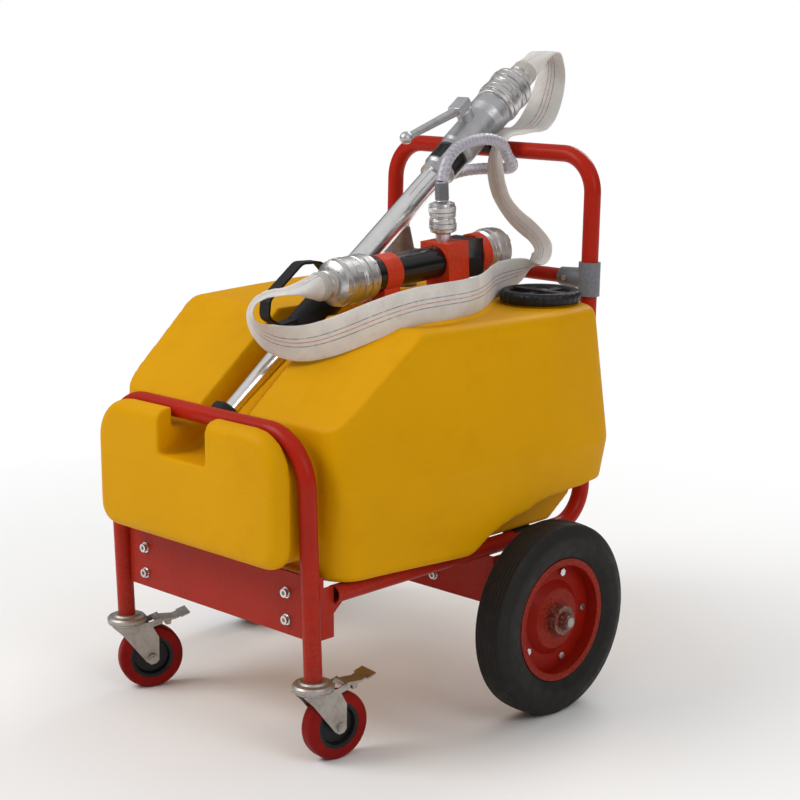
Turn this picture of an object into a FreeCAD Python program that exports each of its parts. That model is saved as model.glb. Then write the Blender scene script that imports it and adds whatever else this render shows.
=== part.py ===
import FreeCAD, Part
import math
import os

import Sketcher
from FreeCAD import Placement, Rotation, Vector

# Wheeled foam unit: a moulded foam tank on a tube trolley with two castors and two rear wheels,
# a foam branchpipe stowed in the tank's channel, and an inductor with its two hoses on top.
# Millimetres, +Z up, +Y towards the push handle, +X to the right of a person pushing it.
# The origin is on the ground, under the middle of the unit.  Lengths along Y in the sheet are
# measured from the front hoop; from_hoop() moves them to the origin.

DIMENSIONS = [
    # trolley frame
    ("hoop_to_origin", 437.0), ("frame_tube_dia", 36.0), ("frame_tube_wall", 2.6),
    ("hoop_half_width", 288.0), ("hoop_top", 642.6), ("hoop_bend", 100.0), ("hoop_lean", 1.5),
    ("castor_top", 167.0), ("rail_height", 327.0), ("rail_front", 52.0), ("rail_bend", 82.0),
    ("handle_top", 1113.0), ("handle_reach", 819.0), ("handle_bend", 81.0), ("handle_lean", 0.032),
    ("handle_half_width", 290.7), ("crossbar_height", 852.0), ("crossbar_dia", 31.0),
    ("clamp_height", 72.0), ("clamp_dia", 47.0), ("clamp_neck_dia", 39.0), ("clamp_neck_reach", 74.0),
    ("front_plate_low", 242.0), ("front_plate_high", 368.0), ("plate_thick", 4.0),
    ("rear_plate_y", 490.0), ("rear_plate_low", 205.0), ("rear_flange_low", 174.0),
    ("rear_flange_depth", 74.0), ("bolt_x", 216.0), ("bolt_z_low", 272.0), ("bolt_z_high", 326.0),
    # axle and rear wheels
    ("axle_y", 529.0), ("axle_dia", 20.0), ("axle_half_length", 486.0), ("wheel_x", 432.0),
    ("tyre_radius", 200.0), ("tyre_bead_radius", 116.0), ("tyre_width", 81.0),
    ("rim_lip_radius", 127.0), ("rim_lip_x", 30.0), ("rim_sheet", 3.0), ("rim_bolt_radius", 94.0),
    ("hub_radius", 30.0), ("hub_half_length", 37.0), ("bearing_radius", 23.5), ("bearing_width", 14.0),
    # castors
    ("castor_radius", 68.5), ("castor_width", 33.0), ("castor_trail", 48.0), ("castor_core_radius", 46.0),
    ("castor_head_radius", 41.0), ("castor_axle_dia", 10.0),
    ("castor_turn_left", 65.4), ("castor_turn_right", 81.0),
    # tank
    ("tank_low", 346.0), ("tank_parting", 535.0), ("tank_top", 815.0), ("tank_wall", 6.0),
    ("tank_front", 34.0), ("slope_low", 657.0), ("slope_y", 48.0), ("slope_rise", 0.79),
    ("channel_half_width", 71.0), ("channel_floor", 734.0), ("notch_floor", 560.0),
    ("arch_radius", 219.0), ("arch_inner_x", 292.0),
    ("lobe_half_width", 273.0), ("lobe_front", 76.0), ("lobe_low", 385.0), ("lobe_top", 651.0),
    ("cap_x", 272.0), ("cap_y", 672.0), ("cap_radius", 85.0), ("cap_height", 29.0),
    ("neck_radius", 62.0), ("neck_rise", 16.0),
    # branchpipe, measured along its own axis
    ("pipe_y", 74.0), ("pipe_z", 658.0), ("pipe_angle", 35.75), ("pipe_radius", 25.5),
    ("pipe_tip_radius", 16.0), ("pipe_wall", 1.6), ("pipe_end", 712.0), ("valve_at", 849.0),
    ("storz_radius", 49.0), ("storz_depth", 46.0), ("small_storz_radius", 29.0),
    # inductor, measured along its own axis
    ("inductor_x", 100.0), ("inductor_y", 270.0), ("inductor_z", 885.0), ("inductor_angle", 2.8),
    ("inductor_radius", 34.0), ("hose_dia", 20.0), ("suction_dia", 26.0),
]

doc = FreeCAD.newDocument("FoamUnit")
sheet = doc.addObject("Spreadsheet::Sheet", "dims")
for row, (alias, value) in enumerate(DIMENSIONS, start=1):
    sheet.set("A%d" % row, alias)
    sheet.set("B%d" % row, str(value))
    sheet.setAlias("B%d" % row, alias)
doc.recompute()

nodes = []


def size(alias):
    """The number held in the sheet under an alias."""
    return float(sheet.get(alias))


def from_hoop(x, y, z):
    """A point given from the front hoop, in the part's own frame."""
    return Vector(x, y - size("hoop_to_origin"), z)


def keep(obj, label, place=None):
    """Names an object as a sub-part and puts it in its place."""
    obj.Label = label
    if place is not None:
        obj.Placement = place
    nodes.append(obj)
    return obj


def feature(shape, label, place):
    """A sub-part whose shape is worked out here, from the sheet's numbers."""
    obj = doc.addObject("Part::Feature", label)
    obj.Shape = shape
    return keep(obj, label, place.multiply(shape.Placement))


def bound(kind, name, place=None, **expressions):
    """A Part primitive whose sizes are bound to the sheet."""
    obj = doc.addObject(kind, name)
    for prop, text in expressions.items():
        obj.setExpression(prop, text)
    if place is not None:
        obj.Placement = place
    return obj


def solid_of(obj):
    """A primitive's shape, once its sizes have been worked out."""
    doc.recompute()
    return obj.Shape.copy()


def fused(shapes):
    """Several shapes joined into one, with the seams between them removed."""
    result = shapes[0]
    if len(shapes) > 1:
        result = result.fuse(shapes[1:])
    return result.removeSplitter()


def cylinder(radius, length, base=(0, 0, 0), direction=(0, 0, 1)):
    return Part.makeCylinder(radius, length, Vector(*base), Vector(*direction))


def cone(radius_1, radius_2, length, base=(0, 0, 0), direction=(0, 0, 1)):
    return Part.makeCone(radius_1, radius_2, length, Vector(*base), Vector(*direction))


def ring(outer, inner, length, base=(0, 0, 0), direction=(0, 0, 1)):
    return cylinder(outer, length, base, direction).cut(cylinder(inner, length, base, direction))


def box(low, high):
    """A box between two opposite corners."""
    low, high = Vector(*low), Vector(*high)
    span = high - low
    return Part.makeBox(span.x, span.y, span.z, low)


def polygon_prism(points, direction):
    """A flat outline pushed along a direction."""
    loop = [Vector(*p) for p in points]
    return Part.Face(Part.makePolygon(loop + [loop[0]])).extrude(Vector(*direction))


def lathe(profile, axis_point=(0, 0, 0), axis=(0, 0, 1)):
    """A solid turned from (radius, height) pairs round Z."""
    loop = [Vector(r, 0, z) for r, z in profile]
    face = Part.Face(Part.makePolygon(loop + [loop[0]]))
    return face.revolve(Vector(*axis_point), Vector(*axis), 360)


def around_z(shape, count, start=0.0):
    """Copies of a shape spaced evenly round Z."""
    copies = []
    for index in range(count):
        copy = shape.copy()
        copy.rotate(Vector(), Vector(0, 0, 1), start + index * 360.0 / count)
        copies.append(copy)
    return copies


def tangent_path(points, radii):
    """Straight runs through the points, with a tangent arc of the given radius at each corner."""
    points = [Vector(*p) for p in points]
    edges = []
    last = points[0]
    for index in range(1, len(points) - 1):
        corner, radius = points[index], radii[index - 1]
        back = (points[index - 1] - corner).normalize()
        ahead = (points[index + 1] - corner).normalize()
        turn = math.pi - back.getAngle(ahead)
        reach = radius * math.tan(turn / 2)
        enter, leave = corner + back * reach, corner + ahead * reach
        inward = (back + ahead).normalize()
        middle = corner + inward * (radius / math.cos(turn / 2) - radius)
        if (enter - last).Length > 1e-6:
            edges.append(Part.LineSegment(last, enter).toShape())
        edges.append(Part.Arc(enter, middle, leave).toShape())
        last = leave
    edges.append(Part.LineSegment(last, points[-1]).toShape())
    return Part.Wire(edges)


def swept(path, radius):
    """A round bar of the given radius along a path."""
    start = path.Edges[0]
    at = start.valueAt(start.FirstParameter)
    along = start.tangentAt(start.FirstParameter)
    circle = Part.Wire(Part.Circle(at, along, radius).toShape())
    return path.makePipeShell([circle], True, True)


def bent_tube(points, radii, outer, wall):
    path = tangent_path(points, radii)
    return swept(path, outer).cut(swept(path, outer - wall))


def sketch_points(sketch, profile):
    """Draws a closed outline whose corners are bound to pairs of expressions."""
    corners = []
    for across, up in profile:
        corners.append(Vector(sheet_value(across), sheet_value(up), 0))
    count = len(corners)
    for index in range(count):
        sketch.addGeometry(Part.LineSegment(corners[index], corners[(index + 1) % count]), False)
    for index in range(count):
        sketch.addConstraint(Sketcher.Constraint("Coincident", index, 2, (index + 1) % count, 1))
    for index, (across, up) in enumerate(profile):
        for kind, text, number in (("DistanceX", across, corners[index].x),
                                   ("DistanceY", up, corners[index].y)):
            which = sketch.addConstraint(Sketcher.Constraint(kind, -1, 1, index, 1, number))
            if "dims." in text:
                sketch.setExpression("Constraints[%d]" % which, text)


def sheet_value(text):
    """Works out an expression made of sheet aliases and plain numbers."""
    probe = doc.getObject("probe") or doc.addObject("App::FeaturePython", "probe")
    if "Value" not in probe.PropertiesList:
        probe.addProperty("App::PropertyFloat", "Value")
    probe.setExpression("Value", text)
    probe.recompute()
    return float(probe.Value)


def plane_of(body, role):
    return [item for item in body.Origin.OriginFeatures if item.Role == role][0]


def turned_body(label, profile):
    """A body turned round its own Z from a bound (radius, height) outline."""
    body = doc.addObject("PartDesign::Body", label)
    sketch = body.newObject("Sketcher::SketchObject", label + "_outline")
    sketch.AttachmentSupport = [(plane_of(body, "XZ_Plane"), "")]
    sketch.MapMode = "FlatFace"
    sketch_points(sketch, profile)
    doc.recompute()
    turn = body.newObject("PartDesign::Revolution", label + "_turn")
    turn.Profile = sketch
    turn.ReferenceAxis = (sketch, ["V_Axis"])
    turn.Angle = 360.0
    sketch.Visibility = False
    body.Tip = turn
    doc.recompute()
    return body


def plate_body(label, profile, thickness, holes=(), plane="XY_Plane"):
    """A flat plate padded from a bound outline, with round holes given as bound triples."""
    body = doc.addObject("PartDesign::Body", label)
    sketch = body.newObject("Sketcher::SketchObject", label + "_outline")
    sketch.AttachmentSupport = [(plane_of(body, plane), "")]
    sketch.MapMode = "FlatFace"
    sketch_points(sketch, profile)
    for across, up, radius in holes:
        middle = Vector(sheet_value(across), sheet_value(up), 0)
        which = sketch.addGeometry(Part.Circle(middle, Vector(0, 0, 1), sheet_value(radius)), False)
        for kind, point, text in (("DistanceX", 3, across), ("DistanceY", 3, up)):
            number = sheet_value(text)
            hold = sketch.addConstraint(Sketcher.Constraint(kind, -1, 1, which, point, number))
            if "dims." in text:
                sketch.setExpression("Constraints[%d]" % hold, text)
        sketch.addConstraint(Sketcher.Constraint("Radius", which, sheet_value(radius)))
    doc.recompute()
    pad = body.newObject("PartDesign::Pad", label + "_pad")
    pad.Profile = sketch
    pad.setExpression("Length", thickness)
    sketch.Visibility = False
    body.Tip = pad
    doc.recompute()
    return body


def hex_bolt(radius, length, head_height):
    """A bolt along +Z with its head's underside at the origin, head pointing to -Z."""
    head_radius = 1.75 * radius / math.cos(math.radians(30))
    corners = []
    for index in range(6):
        angle = math.radians(60 * index)
        corners.append((head_radius * math.cos(angle), head_radius * math.sin(angle), -head_height))
    head = polygon_prism(corners, (0, 0, head_height))
    return fused([head, cylinder(radius, length)])


def turn_to(direction):
    """The rotation that takes +Z to a direction."""
    return Rotation(Vector(0, 0, 1), Vector(*direction))


ACROSS = turn_to((1, 0, 0))


# ---------------------------------------------------------------- trolley frame

def front_hoop():
    half, top, bend = size("hoop_half_width"), size("hoop_top"), size("hoop_bend")
    level, outer = size("castor_top"), size("frame_tube_dia") / 2
    legs = [(-half, 0, -6), (-half, 0, top - level), (half, 0, top - level), (half, 0, -6)]
    tube = bent_tube(legs, [bend, bend], outer, size("frame_tube_wall"))
    tube.rotate(Vector(), Vector(1, 0, 0), size("hoop_lean"))
    tube = tube.cut(box((-half - 60, -60, -20), (half + 60, 60, 0)))
    feature(tube, "front_hoop", Placement(from_hoop(0, 0, level), Rotation()))


def front_cross_plate():
    edge = "dims.hoop_half_width - dims.frame_tube_dia / 2"
    low, high = "dims.front_plate_low", "dims.front_plate_high"
    outline = [("-(%s)" % edge, low), (edge, low), (edge, high), ("-(%s)" % edge, high)]
    holes = []
    for side in ("-", ""):
        for level in ("dims.bolt_z_low", "dims.bolt_z_high"):
            holes.append((side + "dims.bolt_x", level, "5.2"))
    plate = plate_body("front_cross_plate", outline, "dims.plate_thick", holes, "XZ_Plane")
    keep(plate, "front_cross_plate", Placement(from_hoop(0, size("plate_thick"), 0), Rotation()))


def rail_brackets():
    """Folded brackets that carry the side rails' front ends behind the hoop's legs."""
    thick, low, high = size("plate_thick"), size("front_plate_low"), size("front_plate_high")
    rail, front, underside = size("rail_height"), size("rail_front"), size("frame_tube_dia") / 2
    shapes = []
    for side in (-1, 1):
        outline = [(186, 4), (262, 4), (262, 16), (292, 16), (292, front), (288, front),
                   (288, 16 + thick), (258, 16 + thick), (258, 4 + thick), (186, 4 + thick)]
        folded = polygon_prism([(side * x, y, low) for x, y in outline], (0, 0, high - low))
        tail = [(front, rail - underside - 20), (front + 24, rail - underside),
                (front, rail - underside)]
        web = polygon_prism([(side * 288, y, z) for y, z in tail], (side * thick, 0, 0))
        bracket = fused([folded, web]).cut(box((-320, 26, 344), (320, 90, 400)))
        for level in (size("bolt_z_low"), size("bolt_z_high")):
            bracket = bracket.cut(cylinder(5.2, 20, (side * size("bolt_x"), 0, level), (0, 1, 0)))
        shapes.append(bracket)
    feature(Part.makeCompound(shapes), "rail_brackets", Placement(from_hoop(0, 0, 0), Rotation()))


def handle_y(height):
    """Where the leaning push handle's tube stands at a height."""
    return size("handle_reach") - size("handle_lean") * (size("handle_top") - height)


def chassis_tube():
    rail, top, half = size("rail_height"), size("handle_top"), size("handle_half_width")
    low_y, front = handle_y(rail), size("rail_front")
    points = [(half, front, rail), (half, low_y, rail), (half, size("handle_reach"), top),
              (-half, size("handle_reach"), top), (-half, low_y, rail), (-half, front, rail)]
    radii = [size("rail_bend"), size("handle_bend"), size("handle_bend"), size("rail_bend")]
    tube = bent_tube(points, radii, size("frame_tube_dia") / 2, size("frame_tube_wall"))
    feature(tube, "chassis_tube", Placement(from_hoop(0, 0, 0), Rotation()))


def handle_crossbar():
    bar = doc.addObject("Part::Cylinder", "handle_crossbar")
    bar.setExpression("Radius", "dims.crossbar_dia / 2")
    bar.setExpression("Height", "2 * (dims.handle_half_width - 29)")
    start = from_hoop(-(size("handle_half_width") - 29), handle_y(size("crossbar_height")),
                      size("crossbar_height"))
    keep(bar, "handle_crossbar", Placement(start, ACROSS))


def tee_clamps():
    """Moulded tees that join the crossbar to the handle's uprights."""
    lean = -math.degrees(math.atan(size("handle_lean")))
    tall, bore = size("clamp_height"), size("frame_tube_dia") / 2 + 0.05
    bar = size("crossbar_dia") / 2 + 0.05
    shapes = []
    for side in (-1, 1):
        inward = (-side, 0, 0)
        sleeve = cylinder(size("clamp_dia") / 2, tall, (0, 0, -tall / 2))
        sleeve.rotate(Vector(), Vector(1, 0, 0), lean)
        neck = cone(size("clamp_dia") / 2, size("clamp_neck_dia") / 2, size("clamp_neck_reach"),
                    (0, 0, 0), inward)
        upright = cylinder(bore, 2 * tall, (0, 0, -tall))
        upright.rotate(Vector(), Vector(1, 0, 0), lean)
        socket = cylinder(bar, size("clamp_neck_reach"), (-side * 28, 0, 0), inward)
        body = fused([sleeve, neck]).cut(upright).cut(socket)
        screw_hole = cylinder(3.1, 60, (-side * 50, -30, 0), (0, 1, 0))
        body = body.cut(screw_hole.cut(cylinder(bar, 80, (-side * 20, 0, 0), inward)))
        body.translate(Vector(side * size("handle_half_width"), 0, 0))
        shapes.append(body)
    place = from_hoop(0, handle_y(size("crossbar_height")), size("crossbar_height"))
    feature(Part.makeCompound(shapes), "tee_clamps", Placement(place, Rotation()))


def clamp_screws():
    """One cross screw through each tee's neck, from its head to the crossbar's wall."""
    reach, depth = size("crossbar_dia") / 2 + 0.1, 4.0
    shapes = []
    for side in (-1, 1):
        x = side * (size("handle_half_width") - 50)
        neck = size("clamp_neck_dia") / 2 + 2.5
        head = cylinder(5.5, depth, (x, -neck - depth, 0), (0, 1, 0))
        shaft = cylinder(3.0, neck - reach, (x, -neck, 0), (0, 1, 0))
        slot = box((x - 5, -neck - depth, -0.7), (x + 5, -neck - depth + 1.5, 0.7))
        screw = fused([head, shaft]).cut(slot)
        screw.translate(Vector(0, handle_y(size("crossbar_height")), size("crossbar_height")))
        shapes.append(screw)
    return shapes


def rear_cross_plate():
    """A folded plate under the rails whose end flanges carry the axle."""
    front, thick, under = size("rear_plate_y"), size("plate_thick"), size("rail_height")
    under -= size("frame_tube_dia") / 2
    outer, axle_y, axle_z = 310.0, size("axle_y"), size("tyre_radius")
    web = box((-outer, front, size("rear_plate_low")), (outer, front + thick, under))
    parts = [web]
    low, deep = size("rear_flange_low"), front + size("rear_flange_depth")
    for side in (-1, 1):
        outline = [(front, low + 26), (front + 20, low), (deep - 20, low), (deep, low + 26),
                   (deep, under - 34), (front + 34, under), (front, under)]
        parts.append(polygon_prism([(side * outer, y, z) for y, z in outline], (-side * thick, 0, 0)))
    plate = fused(parts)
    plate = plate.cut(cylinder(size("axle_dia") / 2 + 0.05, 700, (-350, axle_y, axle_z), (1, 0, 0)))
    for side in (-1, 1):
        plate = plate.cut(cylinder(5.2, 20, (side * 143, front - 5, 236), (0, 1, 0)))
    feature(plate, "rear_cross_plate", Placement(from_hoop(0, 0, 0), Rotation()))


def socket_bolt(length):
    """A socket-head bolt along +Y with its washer, its head towards -Y, washer's back at 0."""
    washer = ring(11.0, 5.1, 2.0, (0, -2.0, 0), (0, 1, 0))
    head = cylinder(8.6, 7.0, (0, -9.0, 0), (0, 1, 0))
    shaft = cylinder(5.0, length + 2.0, (0, -2.0, 0), (0, 1, 0))
    corners = []
    for index in range(6):
        angle = math.radians(60 * index)
        corners.append((4.6 * math.cos(angle), -9.0, 4.6 * math.sin(angle)))
    socket = polygon_prism(corners, (0, 4.5, 0))
    return [fused([head, shaft]).cut(socket), washer]


def nut_behind(depth):
    """A nut for a bolt along +Y, its near face at the given depth."""
    corners = []
    for index in range(6):
        angle = math.radians(60 * index + 30)
        corners.append((9.4 * math.cos(angle), depth, 9.4 * math.sin(angle)))
    nut = polygon_prism(corners, (0, 8.0, 0))
    return nut.cut(cylinder(5.0, 20, (0, depth - 5, 0), (0, 1, 0)))


def foot_screws():
    """The screws that hold the inductor's two clamps down on the tank."""
    shapes = []
    for spot_y, head_z in zip(INDUCTOR_FEET, (830.6, 839.8)):
        for offset in (-32, 32):
            spot = (size("inductor_x") + offset, spot_y, head_z)
            shaft = cylinder(3.0, head_z - size("tank_top") + 12, spot, (0, 0, -1))
            shapes.append(fused([cylinder(5.0, 5.0, spot), shaft]))
    return shapes


def frame_bolts():
    shapes = clamp_screws() + foot_screws()
    spots = []
    for side in (-1, 1):
        for level in (size("bolt_z_low"), size("bolt_z_high")):
            spots.append((side * size("bolt_x"), 0.0, level, 2 * size("plate_thick")))
        spots.append((side * 143.0, size("rear_plate_y"), 236.0, size("plate_thick")))
    for x, y, z, grip in spots:
        for piece in socket_bolt(grip + 11.0) + [nut_behind(grip)]:
            piece.translate(Vector(x, y, z))
            shapes.append(piece)
    feature(Part.makeCompound(shapes), "frame_bolts", Placement(from_hoop(0, 0, 0), Rotation()))


# ---------------------------------------------------------------- axle and rear wheels

def axle_shaft():
    shaft = doc.addObject("Part::Cylinder", "axle_shaft")
    shaft.setExpression("Radius", "dims.axle_dia / 2")
    shaft.setExpression("Height", "2 * dims.axle_half_length")
    start = from_hoop(-size("axle_half_length"), size("axle_y"), size("tyre_radius"))
    keep(shaft, "axle_shaft", Placement(start, ACROSS))


def axle_spacers():
    bore = size("axle_dia") / 2 + 0.05
    far = size("wheel_x") - size("hub_half_length") - 0.4
    shapes = []
    for side in (-1, 1):
        shapes.append(ring(14.0, bore, far - 310.0, (side * 310.0, 0, 0), (side, 0, 0)))
    place = from_hoop(0, size("axle_y"), size("tyre_radius"))
    feature(Part.makeCompound(shapes), "axle_spacers", Placement(place, Rotation()))


def axle_nuts():
    """Washer, castle nut and split pin at each end of the axle."""
    bore = size("axle_dia") / 2
    face = size("wheel_x") + size("hub_half_length") + 0.4
    shapes = []
    for side in (-1, 1):
        out = (side, 0, 0)
        shapes.append(ring(17.0, bore, 2.5, (side * face, 0, 0), out))
        corners = []
        for index in range(6):
            angle = math.radians(60 * index)
            corners.append((side * (face + 2.5), 17.0 * math.cos(angle), 17.0 * math.sin(angle)))
        nut = polygon_prism(corners, (side * 12.0, 0, 0))
        nut = nut.cut(cylinder(bore, 40, (side * (face - 5), 0, 0), out))
        slot_low = face + 11.0
        slot = box((slot_low, -30, -1.8), (slot_low + 6, 30, 1.8))
        if side < 0:
            slot = slot.mirror(Vector(), Vector(1, 0, 0))
        shapes.append(nut.cut(slot))
    place = from_hoop(0, size("axle_y"), size("tyre_radius"))
    feature(Part.makeCompound(shapes), "axle_nuts", Placement(place, Rotation()))


TYRE_SECTION = [("116", "-26"), ("127.5", "-27.6"), ("134", "-33.5"), ("150", "-38.6"),
                ("168", "-40.5"), ("184", "-38.2"), ("193.5", "-31.5"), ("198.2", "-21"),
                ("200", "-8")]


def tyre_outline():
    """The tyre's section, bound to the sheet, down one side and back up the other."""
    half = []
    for across, up in TYRE_SECTION:
        half.append(("dims.tyre_radius - %s" % (200 - float(across)), up))
    other = [(across, up[1:]) for across, up in reversed(half)]
    return half + other


def rim_half(sign):
    """One of the two dished discs that are bolted together inside the tyre."""
    lip, lip_z, sheet_t = size("rim_lip_radius"), size("rim_lip_x"), size("rim_sheet")
    barrel, hub = size("tyre_bead_radius"), size("hub_radius") + 0.05
    outline = [(lip, lip_z - 2), (lip, lip_z + 1), (barrel - sheet_t, lip_z + 1),
               (barrel - sheet_t, sheet_t), (78, sheet_t), (62, 17), (hub, 17),
               (hub, 14), (60.5, 14), (76.5, 0), (barrel, 0), (barrel, lip_z - 2)]
    disc = lathe([(r, sign * z) for r, z in outline])
    holes = around_z(cylinder(4.1, 20, (size("rim_bolt_radius"), 0, -10)), 5, 18)
    for hole in holes:
        disc = disc.cut(hole)
    return disc


def rear_wheels():
    for side, name in ((-1, "left"), (1, "right")):
        place = Placement(from_hoop(side * size("wheel_x"), size("axle_y"), size("tyre_radius")),
                          turn_to((side, 0, 0)))
        keep(turned_body("rear_tyre_" + name, tyre_outline()), "rear_tyre_" + name, place)
        rims = Part.makeCompound([rim_half(1), rim_half(-1)])
        feature(rims, "rear_rim_" + name, place)
        feature(rim_bolts(), "rim_bolts_" + name, place)
        hub = [lathe(hub_outline())] + hub_bearings()
        feature(Part.makeCompound(hub), "wheel_hub_" + name, place)


def rim_bolts():
    thick = size("rim_sheet")
    bolt = hex_bolt(4.0, 2 * thick + 8, 5.0)
    bolt.rotate(Vector(), Vector(1, 0, 0), 180)
    bolt.translate(Vector(size("rim_bolt_radius"), 0, thick))
    corners = []
    for index in range(6):
        angle = math.radians(60 * index)
        corners.append((size("rim_bolt_radius") + 7.5 * math.cos(angle), 7.5 * math.sin(angle),
                        -thick - 6))
    nut = polygon_prism(corners, (0, 0, 6)).cut(cylinder(4.0, 40, (size("rim_bolt_radius"), 0, -20)))
    return Part.makeCompound(around_z(bolt, 5, 18) + around_z(nut, 5, 18))


def hub_outline():
    seat, outer = size("bearing_radius"), size("hub_radius")
    end, shoulder = size("hub_half_length"), size("hub_half_length") - size("bearing_width")
    return [(seat, -end), (outer, -end), (outer, end), (seat, end), (seat, shoulder),
            (19, shoulder), (19, -shoulder), (seat, -shoulder)]


def hub_bearings():
    bore, outer, wide = size("axle_dia") / 2 + 0.05, size("bearing_radius"), size("bearing_width")
    end = size("hub_half_length")
    shapes = []
    for base in (-end, end - wide):
        body = ring(outer, bore, wide, (0, 0, base))
        for face in (base, base + wide - 1.2):
            body = body.cut(ring(19.5, 14.5, 1.2, (0, 0, face)))
        shapes.append(body)
    return shapes


# ---------------------------------------------------------------- castors

def castor_head():
    """Round swivel head under the hoop's leg: cover, upper race and kingpin riveted up as one."""
    top, outer = size("castor_top"), size("castor_head_radius")
    cover = [(0, 153.0), (outer - 4, 153.0), (outer - 4, 151.0), (outer, 151.0), (outer, 158.0),
             (outer - 3, 161.5), (outer - 12, 163.5), (outer - 15, top), (0, top)]
    race = cone(25.0, 30.0, 2.8, (0, 0, 150.3))
    pin = cylinder(6.0, 15.0, (0, 0, 138.0))
    head = cone(7.5, 10.0, 3.7, (0, 0, 136.0))
    return fused([lathe(cover), race, pin, head])


def castor_fork():
    """Pressed fork: dished crown, two cheeks, and ears that hold the brake pedal's pin."""
    trail, axle_z, outer = size("castor_trail"), size("castor_radius"), size("castor_head_radius")
    crown = lathe([(0, 140), (22, 140), (outer - 8, 143), (outer - 1, 147), (outer - 1, 150),
                   (outer - 5, 150), (31, 148), (0, 148)])
    bridge = box((-21.5, -27, 143), (21.5, 31, 148))
    cheeks = []
    cheek = [(-36, 146), (31, 147), (42, 146), (70, 155), (72, 142), (50, 136), (trail + 15, 112),
             (trail + 14, 62), (trail + 8, 55), (trail - 3, 53), (trail - 13, 60), (-14, 124),
             (-30, 140)]
    for side in (-1, 1):
        cheeks.append(polygon_prism([(side * 18.5, y, z) for y, z in cheek], (side * 3, 0, 0)))
    fork = fused([crown, bridge] + cheeks)
    fork = fork.cut(cylinder(6.05, 40, (0, 0, 130)))
    fork = fork.cut(cylinder(size("castor_axle_dia") / 2 + 0.05, 60, (-30, trail, axle_z), (1, 0, 0)))
    pin = cylinder(3.0, 45.0, (-22.5, 64.0, 148.5), (1, 0, 0))
    return Part.makeCompound([fused([fork, pin])] + castor_axle())


def castor_axle():
    radius, trail, axle_z = size("castor_axle_dia") / 2, size("castor_trail"), size("castor_radius")
    bolt = hex_bolt(radius, 52, 6.0)
    nut = ring(9.0, radius, 7.0, (0, 0, 43.0))
    place = Placement(Vector(-21.5, trail, axle_z), ACROSS)
    return [bolt.transformGeometry(place.toMatrix()), nut.transformGeometry(place.toMatrix())]


CASTOR_CORE = [("5.05", "-17.5"), ("13", "-17.5"), ("14", "-6"), ("36", "-5"), ("39", "-14"),
               ("dims.castor_core_radius", "-15.5"), ("dims.castor_core_radius", "15.5"),
               ("39", "14"), ("36", "5"), ("14", "6"), ("13", "17.5"), ("5.05", "17.5")]

CASTOR_TREAD = [("dims.castor_core_radius", "-16.5"), ("dims.castor_radius - 5", "-16.5"),
                ("dims.castor_radius - 1.4", "-13.5"), ("dims.castor_radius", "-8"),
                ("dims.castor_radius", "8"), ("dims.castor_radius - 1.4", "13.5"),
                ("dims.castor_radius - 5", "16.5"), ("dims.castor_core_radius", "16.5")]


def castor_pedal():
    """Bent brake pedal that swings on the fork's pin and carries its own shoe."""
    outline = [(56, 147), (60, 151.5), (66, 152.5), (100, 150.5), (130, 161), (131, 158),
               (101, 147), (92, 146), (90, 136.5), (80, 136.5), (79, 145)]
    blade = polygon_prism([(-17.5, y, z) for y, z in outline], (35, 0, 0))
    tip = polygon_prism([(-24, 112, 151.2), (-24, 130, 158), (-24, 131, 161), (-24, 111, 154.4)],
                        (48, 0, 0))
    pedal = fused([blade, tip, cylinder(6.0, 35.0, (-17.5, 64.0, 148.5), (1, 0, 0))])
    return pedal.cut(cylinder(3.05, 60, (-30, 64.0, 148.5), (1, 0, 0)))


def castors():
    for side, name in ((-1, "left"), (1, "right")):
        base = from_hoop(side * size("hoop_half_width"), 0, 0)
        trailing = Placement(base, Rotation(Vector(0, 0, 1), size("castor_turn_" + name) - 90))
        feature(castor_head(), "castor_head_" + name, Placement(base, Rotation()))
        feature(castor_fork(), "castor_fork_" + name, trailing)
        feature(castor_pedal(), "brake_pedal_" + name, trailing)
        hub = trailing.multiply(Placement(Vector(0, size("castor_trail"), size("castor_radius")), ACROSS))
        keep(turned_body("castor_core_" + name, CASTOR_CORE), "castor_core_" + name, hub)
        keep(turned_body("castor_tread_" + name, CASTOR_TREAD), "castor_tread_" + name, hub)


# ---------------------------------------------------------------- tank

# (distance back, half width) pairs round the tank's plan, front to rear, at three heights
PLAN_LOW = [(38, 262), (50, 297), (80, 324), (143, 333), (218, 344), (250, 349), (328, 362),
            (429, 375), (530, 384), (590, 387), (700, 386), (735, 368), (755, 330), (760, 270)]
PLAN_PARTING = [(34, 295), (45, 328), (80, 341), (143, 350), (218, 362), (250, 370), (328, 384),
                (429, 397), (530, 407), (590, 411), (700, 410), (750, 395), (774, 360), (780, 300)]
PLAN_HIGH = [(34, 265), (45, 295), (80, 318), (143, 330), (218, 344), (250, 350), (328, 362),
             (429, 375), (530, 384), (590, 389), (700, 380), (740, 366), (762, 330), (768, 280)]
PLAN_MIDDLE = 407.0


def smoothed(points, steps=3):
    """Extra points between the given ones, on a curve through them all."""
    result = []
    last = len(points) - 1
    for index in range(last):
        p0, p1 = points[max(index - 1, 0)], points[index]
        p2, p3 = points[index + 1], points[min(index + 2, last)]
        for step in range(steps):
            t = step / steps
            pair = []
            for a, b, c, d in zip(p0, p1, p2, p3):
                bend = (2 * a - 5 * b + 4 * c - d) * t * t + (3 * b - a - 3 * c + d) * t ** 3
                pair.append(b + 0.5 * ((c - a) * t + bend))
            result.append(tuple(pair))
    return result + [points[-1]]


def plan_wire(plan, height, inset):
    """The closed outline of one level, drawn in by an inset on every side."""
    right = []
    for y, half in smoothed(plan):
        pull = inset * (y - PLAN_MIDDLE) / 370.0
        right.append(Vector(half - inset, y - pull, height))
    left = [Vector(-p.x, p.y, p.z) for p in reversed(right)]
    return Part.makePolygon(right + left + [right[0]])


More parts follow.
